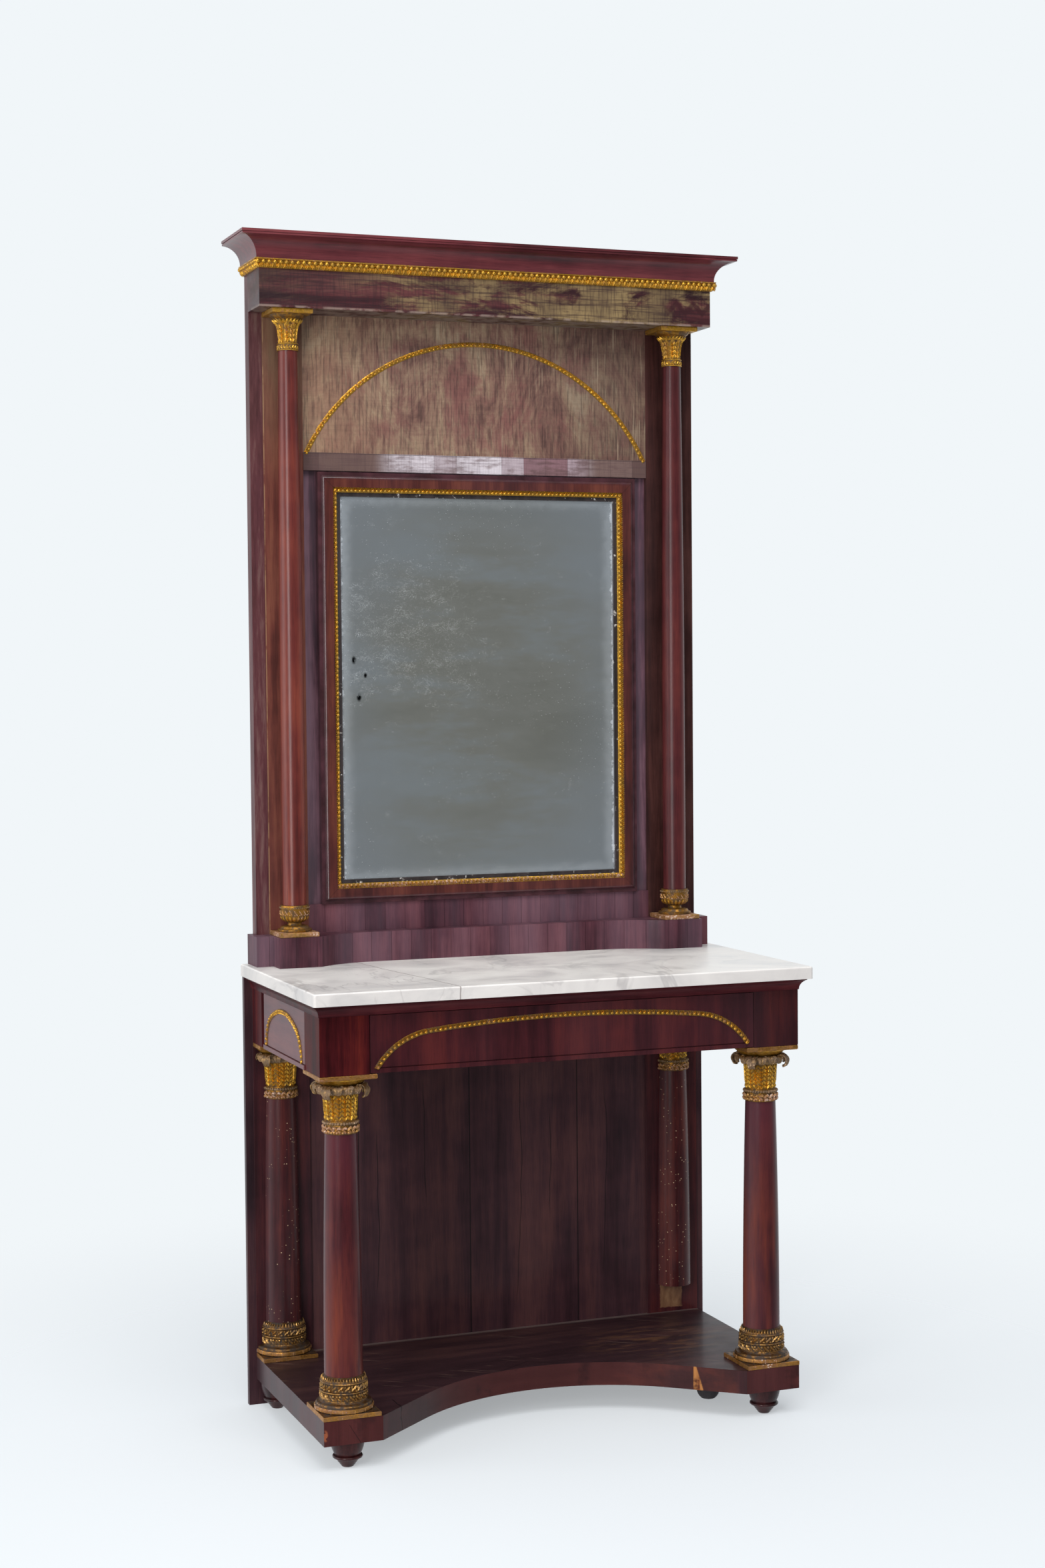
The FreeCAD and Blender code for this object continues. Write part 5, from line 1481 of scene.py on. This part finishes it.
def curled_leaf(line, widths, thickness=2.2, columns=9, rows_per=5):
    """A leaf along a (reach, height) line on the +X side. widths are half widths along it.

    Its edges swell in lobes. Three grooves run along it and fade towards the tip.
    """
    path = smooth_line([(r, 0, z) for r, z in line], rows_per)
    rows = len(path)
    outer, inner = [], []
    for i, point in enumerate(path):
        share = i / (rows - 1)
        place = share * (len(widths) - 1)
        k = min(int(place), len(widths) - 2)
        half = widths[k] + (widths[k + 1] - widths[k]) * (place - k)
        lobe = 1 + 0.14 * math.sin(share * math.pi * 7)
        run = (path[min(i + 1, rows - 1)] - path[max(i - 1, 0)]).normalized()
        out = Vector((run.z, 0, -run.x))
        for c in range(columns):
            s = c / (columns - 1) * 2 - 1
            groove = 0.9 * math.cos(s * math.pi * 3) * (1 - 0.4 * share)
            camber = -0.18 * half * s * s
            centre = point + Vector((0, s * half * lobe, 0)) + out * (groove + camber)
            edge = 1 - 0.6 * s * s
            outer.append(centre + out * thickness / 2 * edge)
            inner.append(centre - out * thickness / 2 * edge)
    faces = []
    total = rows * columns
    for i in range(rows - 1):
        for c in range(columns - 1):
            a = i * columns + c
            faces.append((a, a + 1, a + columns + 1, a + columns))
            faces.append((total + a, total + a + columns, total + a + columns + 1, total + a + 1))
    rim = list(range(columns))
    rim += [i * columns + columns - 1 for i in range(1, rows)]
    rim += [(rows - 1) * columns + c for c in range(columns - 2, -1, -1)]
    rim += [i * columns for i in range(rows - 2, 0, -1)]
    for a, b in zip(rim, rim[1:] + rim[:1]):
        faces.append((a, total + a, total + b, b))
    return outer + inner, faces


print("one spray has", len(spray(28, 90, 7, 5.8, 3.6, 2.2)[1]), "faces")

# %% The console capital
BELL = [(33.0, 0.0), (34.8, 1.0), (35.0, 2.4), (33.6, 3.6), (33.4, 18.0), (33.2, 20.0),
        (33.2, 25.4), (33.0, 26.6), (31.2, 27.4), (30.6, 42.0), (31.2, 60.0), (33.4, 76.0),
        (36.4, 88.0), (38.6, 94.0), (40.6, 97.6), (41.6, 99.6), (44.0, 101.6), (47.4, 104.2),
        (50.2, 107.2), (52.4, 109.6), (54.4, 110.8), (55.0, 112.2), (55.0, 113.6)]
NECK = [(34.6, 0.0), (34.6, 30.0)]
WREATH = joined(
    blade((-4.8, 2.0, 0), (3.4, 10.5, 1.2), 7.4, 4.2),
    blade((4.8, 7.0, 0), (-3.0, 18.0, 1.0), 6.6, 4.0),
    blade((-6.0, 9.0, 0), (-2.6, 18.4, 0.8), 5.0, 3.4),
    ball((3.2, 4.6, 1.2), 3.0, 8, 5), ball((-2.4, 13.6, 1.8), 2.7, 8, 5))
CORNER_LEAF = curled_leaf(
    [(36, 84), (40, 92), (46, 98), (53, 98.5), (58.5, 93.5), (59.5, 86), (56.5, 79), (51, 76.5)],
    [8, 10, 10.5, 10.5, 10, 9.5, 8, 3.5], thickness=5.0)
DROOPING_LEAF = curled_leaf(
    [(36, 82), (41, 92), (46.5, 98), (51.5, 97), (53.4, 91.5), (52, 85)],
    [7, 10, 11, 11, 9, 3.5], thickness=3.4)


def around(name, unit, count, finish, seed, start=0.0, variation=0.015):
    """A unit repeated round the axis: its mesh about the origin, and its finish."""
    mesh = grown(name, RING, unit, Count=count, Start=start, Variation=variation, Seed=seed,
                 Finish=finishes[finish])
    return mesh, finish


def capital_parts():
    """Every shape of one capital about the origin, with its finish."""
    sprays = bent_round(spray(27.5, 88, 6, 6.4, 6.2, 3.4), BELL)
    bead = ball((0, 22.6, 0.4), 3.3, 8, 5)
    dish = [(r + 0.3, z) for r, z in BELL[-7:]]
    return [
        (as_mesh("bell", turned(BELL)), "shaded_gilding"),
        (as_mesh("dish", turned(dish)), "old_gilding"),
        (as_mesh("abacus", slab(60, 60, 113.5, 123.5, 1.6)), "abacus_gilding"),
        around("sprays", sprays, 16, "bright_gilding", 2),
        around("wreath", bent_round(WREATH, NECK), 19, "rubbed_gilding", 3),
        around("beads", bent_round(bead, NECK), 38, "dirty_gilding", 4, variation=0.02),
        around("corner_leaves", CORNER_LEAF, 4, "dirty_gilding", 5, math.pi / 4, 0.03),
        around("drooping_leaves", DROOPING_LEAF, 16, "dirty_gilding", 6, variation=0.02),
    ]


def set_on(parts, x, y, z):
    """Copies of the shapes moved to a column. The place is in millimetres."""
    placed = []
    for mesh, finish in parts:
        copy = mesh.copy()
        copy.transform(Matrix.Translation(Vector((x, y, z)) * MM))
        placed.append((copy, finish))
    return placed


CAPITAL = capital_parts()
COLUMN_X, FRONT_Y, REAR_Y = 470, -190, 264
CAPITAL_FOOT = 674.5
SIDES = (("left", -1), ("right", 1))
for side, sign in SIDES:
    x = sign * COLUMN_X
    make_piece(f"carved_capital_front_{side}", set_on(CAPITAL, x, FRONT_Y, CAPITAL_FOOT), "console",
               [f"capital_front_{side}"])
    make_piece(f"carved_capital_rear_{side}", set_on(CAPITAL, x, REAR_Y, CAPITAL_FOOT), "console",
               [f"capital_rear_{side}"], cut_behind=REAR_Y)

# %% [markdown]
# ## Bases of the console
#
# A base stands on a square plinth with a gilt edge. Over it come a thick ring with bright cracks,
# two bands of S-shaped leaves between thin hoops, which have a diamond section, and a crown of
# small upright points that closes round the shaft. The right rear base is lost, so three are made.

# %% The console base
PLINTH_HALF, BASE_FOOT = 60, 107
BASE = [(57.5, 9.0), (59.5, 10.6), (59.8, 16.0), (59.0, 18.6), (57.2, 19.6), (56.8, 22.6),
        (55.4, 25.0), (50.6, 26.0), (47.8, 27.4), (46.4, 29.4), (46.2, 44.8), (48.2, 46.0),
        (48.6, 47.4), (48.2, 48.8), (46.2, 50.0), (45.6, 63.6), (47.4, 64.6), (47.6, 66.4),
        (46.0, 67.8), (44.8, 72.0), (42.2, 72.8), (40.4, 73.0), (40.4, 78.6)]
FOOT_RING = [(57.5, 9.2), (59.8, 10.8), (60.1, 16.0), (59.2, 18.6), (57.0, 18.9)]
LOW_LEAF = joined(
    blade((-6.4, 31.0, 0), (2.0, 39.5, 1.2), 6.0, 3.4),
    blade((-0.4, 35.4, 0.8), (6.0, 45.4, 0.4), 5.6, 3.2),
    blade((3.4, 30.6, 0), (6.6, 38.6, 0.4), 4.0, 2.6), ball((-3.4, 42.0, 0.8), 2.8, 8, 4))
HIGH_LEAF = joined(
    blade((-6.2, 63.6, 0), (1.6, 55.0, 1.0), 5.8, 3.2),
    blade((-0.2, 59.4, 0.8), (6.0, 50.6, 0.3), 5.4, 3.0),
    blade((3.4, 64.0, 0), (6.2, 57.0, 0.3), 3.8, 2.4), ball((-3.8, 53.0, 0.8), 2.7, 8, 4))


def hoop(radius, level, width):
    """A thin ring with a diamond section."""
    turns = [math.tau * step / 60 for step in range(60)]
    return strip([(radius * math.cos(t), radius * math.sin(t), level) for t in turns], (0, 0, 1),
                 [(0, -width), (-width * 0.7, 0), (0, width), (width, 0)], closed=True)


def cylinder_profile(radius):
    """A straight profile to bend a carving onto."""
    return [(radius, 0.0), (radius, 80.0)]


def plinth_edging():
    """The gilt front of the plinth, on all four sides."""
    half = PLINTH_HALF
    square = [(half, half, 4.5), (-half, half, 4.5), (-half, -half, 4.5), (half, -half, 4.5)]
    section = [(0.5, -4.2), (-0.6, -3.8), (-0.6, 3.8), (0.5, 4.6)]
    return strip(square, (0, 0, 1), section, closed=True)


def base_parts():
    """Every shape of one base about the origin, with its finish."""
    band = cylinder_profile(46.6)
    point = bent_round(blade((0, 67.0, 0.2), (0, 78.0, -2.0), 4.2, 2.2), cylinder_profile(45.6))
    crack = bent_round(blade((0, 9.4, 1.0), (0, 19.4, 1.0), 2.6, 1.2), cylinder_profile(59.4))
    hoops = joined(hoop(48.7, 47.4, 1.1), hoop(47.7, 66.2, 1.0), hoop(46.6, 30.2, 0.9),
                   hoop(56.6, 22.4, 0.7))
    return [
        (as_mesh("plinth", slab(PLINTH_HALF, PLINTH_HALF, 0, 9, 0.8)), "bronzing"),
        (as_mesh("plinth_edge", plinth_edging()), "abacus_gilding"),
        (as_mesh("base_core", turned(BASE)), "bronzing"),
        (as_mesh("rings", hoops), "edge_bronze"),
        (as_mesh("foot_ring", turned(FOOT_RING)), "abacus_gilding"),
        around("low_leaves", bent_round(LOW_LEAF, band), 21, "bronze_relief", 11),
        around("high_leaves", bent_round(HIGH_LEAF, band), 21, "bronze_relief", 12, 0.1),
        around("crown", point, 44, "bronze_relief", 13, variation=0.02),
        around("ring_cracks", crack, 15, "rubbed_gilding", 14, 0.2, 0.01),
    ]


CONSOLE_BASE = base_parts()
for side, sign in SIDES:
    make_piece(f"carved_base_front_{side}",
               set_on(CONSOLE_BASE, sign * COLUMN_X, FRONT_Y, BASE_FOOT), "console",
               [f"base_front_{side}"])
make_piece("carved_base_rear_left", set_on(CONSOLE_BASE, -COLUMN_X, REAR_Y, BASE_FOOT), "console",
           ["base_rear_left"], cut_behind=REAR_Y)

# %% [markdown]
# ## Capitals and bases of the slender columns
#
# The columns beside the glass have smaller, plainer gilding: a trumpet of ten sprays with a ragged
# rim of leaves under a smooth dish, and at the foot a carved cup on a waist, a stepped disc and a
# square plinth.

# %% The slender capital
TRUMPET = [(20.6, 0.0), (21.8, 1.5), (22.0, 12.5), (21.0, 14.6), (18.6, 15.4), (18.2, 26.0),
           (19.4, 40.0), (22.4, 52.0), (27.0, 61.0), (31.0, 65.0), (32.6, 66.6), (32.0, 68.0),
           (35.6, 70.4), (38.6, 73.6), (39.4, 76.2)]


def slender_capital_parts():
    """Every shape of one slender capital about the origin, with its finish."""
    sprays = bent_round(spray(16, 60, 4, 5.8, 7.4, 2.4), TRUMPET)
    rim = bent_round(joined(blade((-3.4, 57, 0.5), (1.6, 66.0, 2.0), 5.4, 2.8),
                            blade((3.0, 57.5, 0.5), (-0.6, 65.5, 2.2), 4.8, 2.4)), TRUMPET)
    band = bent_round(joined(blade((-3.6, 1.6, 0), (2.6, 9.6, 0.3), 5.0, 2.0),
                             blade((3.4, 4.0, 0), (-2.4, 12.8, 0.2), 5.0, 2.0)),
                      [(21.6, 0.0), (21.6, 20.0)])
    hoops = joined(hoop(22.6, 0.9, 0.9), hoop(22.4, 14.4, 1.0))
    return [
        (as_mesh("trumpet", turned(TRUMPET, 56)), "shaded_gilding"),
        (as_mesh("trumpet_rings", hoops), "bright_gilding"),
        (as_mesh("slender_abacus", slab(44.5, 44.5, 76, 86, 0.9)), "old_gilding"),
        around("slender_sprays", sprays, 10, "old_gilding", 21),
        around("slender_rim", rim, 24, "bright_gilding", 22),
        around("slender_band", band, 20, "bright_gilding", 23),
    ]


SLENDER_CAPITAL = slender_capital_parts()
print("a slender capital has", len(SLENDER_CAPITAL), "shapes")

# %% The slender base
CUP = [(36.0, 10.0), (37.0, 12.0), (36.6, 15.6), (32.0, 16.6), (31.0, 18.4), (29.4, 21.4),
       (24.0, 23.0), (16.0, 23.6), (14.8, 26.0), (15.4, 29.2), (20.0, 30.6), (25.4, 34.0),
       (29.4, 40.0), (30.8, 47.0), (31.0, 58.0), (31.6, 60.0), (31.6, 64.0), (30.4, 66.8)]
SLENDER_X, SLENDER_Y = 450, 203
SLENDER_HEAD, SLENDER_FOOT = 2286, 1033


def slender_base_parts():
    """Every shape of one slender base about the origin, with its finish."""
    leaf = bent_round(joined(blade((-3.6, 45.5, 0), (1.2, 52.5, 0.4), 3.4, 2.2),
                             blade((0.4, 50.0, 0.2), (3.8, 57.0, 0.1), 3.2, 2.0),
                             ball((2.6, 46.6, 0.3), 1.5, 6, 3)), CUP)
    petal = bent_round(blade((0, 31.5, 0), (0, 45.0, 0.4), 6.0, 1.8), CUP)
    bead = bent_round(ball((0, 62, 0.2), 1.7, 6, 4), CUP)
    return [
        (as_mesh("slender_plinth", slab(42.5, 42.5, 0, 10, 0.9)), "rubbed_gilding"),
        (as_mesh("cup", turned(CUP, 56)), "shaded_gilding"),
        around("cup_leaves", leaf, 18, "rubbed_gilding", 31),
        around("cup_petals", petal, 20, "old_gilding", 32),
        around("cup_beads", bead, 40, "dirty_gilding", 33),
    ]


SLENDER_BASE = slender_base_parts()
for side, sign in SIDES:
    x = sign * SLENDER_X
    make_piece(f"carved_slender_capital_{side}",
               set_on(SLENDER_CAPITAL, x, SLENDER_Y, SLENDER_HEAD), "console",
               [f"slender_capital_{side}"])
    make_piece(f"carved_slender_base_{side}", set_on(SLENDER_BASE, x, SLENDER_Y, SLENDER_FOOT),
               "console", [f"slender_base_{side}"])

# %% [markdown]
# ## Floor, light and camera
#
# The object stands on a pale floor in a white room. The floor takes the object's soft shadow near
# it and fades into the background further out, so no horizon shows. A soft lamp at the left gives
# the shafts their bright edge, a large one high in front fills the face, a third shines along the
# left side, and the pale world does the rest.

# %% The floor
FLOOR_HALF = 30.0


def pale_floor():
    """A wide floor that hides only part of what is behind it, and that only near the object."""
    half = FLOOR_HALF
    mesh = bpy.data.meshes.new("floor")
    mesh.from_pydata([(-half, -half, 0), (half, -half, 0), (half, half, 0), (-half, half, 0)], [],
                     [(0, 1, 2, 3)])
    f = Finish("pale_floor")
    near = f.within((0.0, -0.1, 0.0), (1.3, 1.3, 1.3), 0.85)
    gone = f.node("ShaderNodeBsdfTransparent")
    mixed = f.node("ShaderNodeMixShader")
    f.feed(f.shader.inputs["Base Color"], tone(235, 239, 241))
    f.feed(f.shader.inputs["Roughness"], 0.9)
    f.tree.links.new(f.times(near, 0.62), mixed.inputs["Fac"])
    f.tree.links.new(gone.outputs[0], mixed.inputs[1])
    f.tree.links.new(f.shader.outputs[0], mixed.inputs[2])
    f.tree.links.new(mixed.outputs[0], f.tree.nodes["Material Output"].inputs["Surface"])
    mesh.materials.append(f.material)
    floor = bpy.data.objects.new("floor", mesh)
    bpy.context.scene.collection.objects.link(floor)


pale_floor()
print("floor:", 2 * FLOOR_HALF, "m square")

# %% The lamps
def lamp(name, place, aim, width, height, power):
    """A soft rectangular lamp. Lengths are in metres and the power in watts."""
    data = bpy.data.lights.new(name, "AREA")
    data.shape = "RECTANGLE"
    data.size, data.size_y = width, height
    data.energy = power
    light = bpy.data.objects.new(name, data)
    light.location = place
    light.rotation_euler = (Vector(aim) - Vector(place)).to_track_quat("-Z", "Y").to_euler()
    bpy.context.scene.collection.objects.link(light)


lamp("window_lamp", (-3.4, -3.6, 1.8), (0, 0, 1.3), 1.4, 3.0, 125)
lamp("ceiling_lamp", (-0.6, -3.0, 5.4), (0, 0, 1.2), 4.0, 2.6, 172)
lamp("side_lamp", (-5.2, 0.4, 2.2), (0, 0, 1.2), 3.0, 3.0, 70)

# %% The white room
def white_room():
    """A pale world. Reflections see it too, but darker on the side where the viewer stands."""
    world = bpy.data.worlds.new("white_room")
    bpy.context.scene.world = world
    world.use_nodes = True
    nodes, links = world.node_tree.nodes, world.node_tree.links

    def larger(first, second):
        node = nodes.new("ShaderNodeMath")
        node.operation = "MAXIMUM"
        links.new(first, node.inputs[0])
        links.new(second, node.inputs[1])
        return node.outputs[0]

    lighting = nodes["Background"]
    lighting.inputs["Color"].default_value = tone(236, 240, 250)
    lighting.inputs["Strength"].default_value = 0.56
    seen = nodes.new("ShaderNodeBackground")
    rays = nodes.new("ShaderNodeLightPath")
    direction = nodes.new("ShaderNodeSeparateXYZ")
    links.new(nodes.new("ShaderNodeTexCoord").outputs["Generated"], direction.inputs[0])
    depth = nodes.new("ShaderNodeMapRange")
    depth.interpolation_type = "SMOOTHSTEP"
    depth.inputs["From Min"].default_value = -0.85
    depth.inputs["From Max"].default_value = 0.1
    depth.inputs["To Min"].default_value = 0.17
    links.new(direction.outputs["Y"], depth.inputs["Value"])
    bright = larger(rays.outputs["Is Camera Ray"], depth.outputs["Result"])
    seen.inputs["Color"].default_value = tone(241, 246, 249)
    links.new(bright, seen.inputs["Strength"])
    direct = larger(rays.outputs["Is Camera Ray"], rays.outputs["Is Glossy Ray"])
    through = larger(direct, rays.outputs["Is Transmission Ray"])
    choice = nodes.new("ShaderNodeMixShader")
    links.new(through, choice.inputs["Fac"])
    links.new(lighting.outputs[0], choice.inputs[1])
    links.new(seen.outputs[0], choice.inputs[2])
    links.new(choice.outputs[0], nodes["World Output"].inputs["Surface"])


white_room()
bpy.context.scene.view_settings.view_transform = "Standard"
print("world:", bpy.context.scene.world.name)

# %% [markdown]
# The camera stands about five metres away, left of the middle and at eye height, and looks a
# little down. Its frame is upright, two units wide by three high.

# %% The camera
EYE = (-1.87354, -4.87724, 1.58509)
YAW, PITCH, ROLL = -0.367, -0.0435, -0.0085
SENSOR_WIDTH = 36.0
FOCAL_DOTS, FRAME_DOTS = 3663.68, 1568    # focal length and frame width, in dots of the frame


def set_camera():
    ahead = Vector((-math.sin(YAW) * math.cos(PITCH), math.cos(YAW) * math.cos(PITCH),
                    math.sin(PITCH)))
    right = Vector((math.cos(YAW), math.sin(YAW), 0))
    up = right.cross(ahead)
    level_right = right * math.cos(ROLL) + up * math.sin(ROLL)
    level_up = up * math.cos(ROLL) - right * math.sin(ROLL)
    data = bpy.data.cameras.new("camera")
    data.sensor_fit = "HORIZONTAL"
    data.sensor_width = SENSOR_WIDTH
    data.lens = SENSOR_WIDTH * FOCAL_DOTS / FRAME_DOTS
    camera = bpy.data.objects.new("camera", data)
    turn = Matrix((level_right, level_up, -ahead)).transposed().to_4x4()
    camera.matrix_world = Matrix.Translation(EYE) @ turn
    bpy.context.scene.collection.objects.link(camera)
    bpy.context.scene.camera = camera
    print("camera:", round(data.lens, 1), "mm")


set_camera()
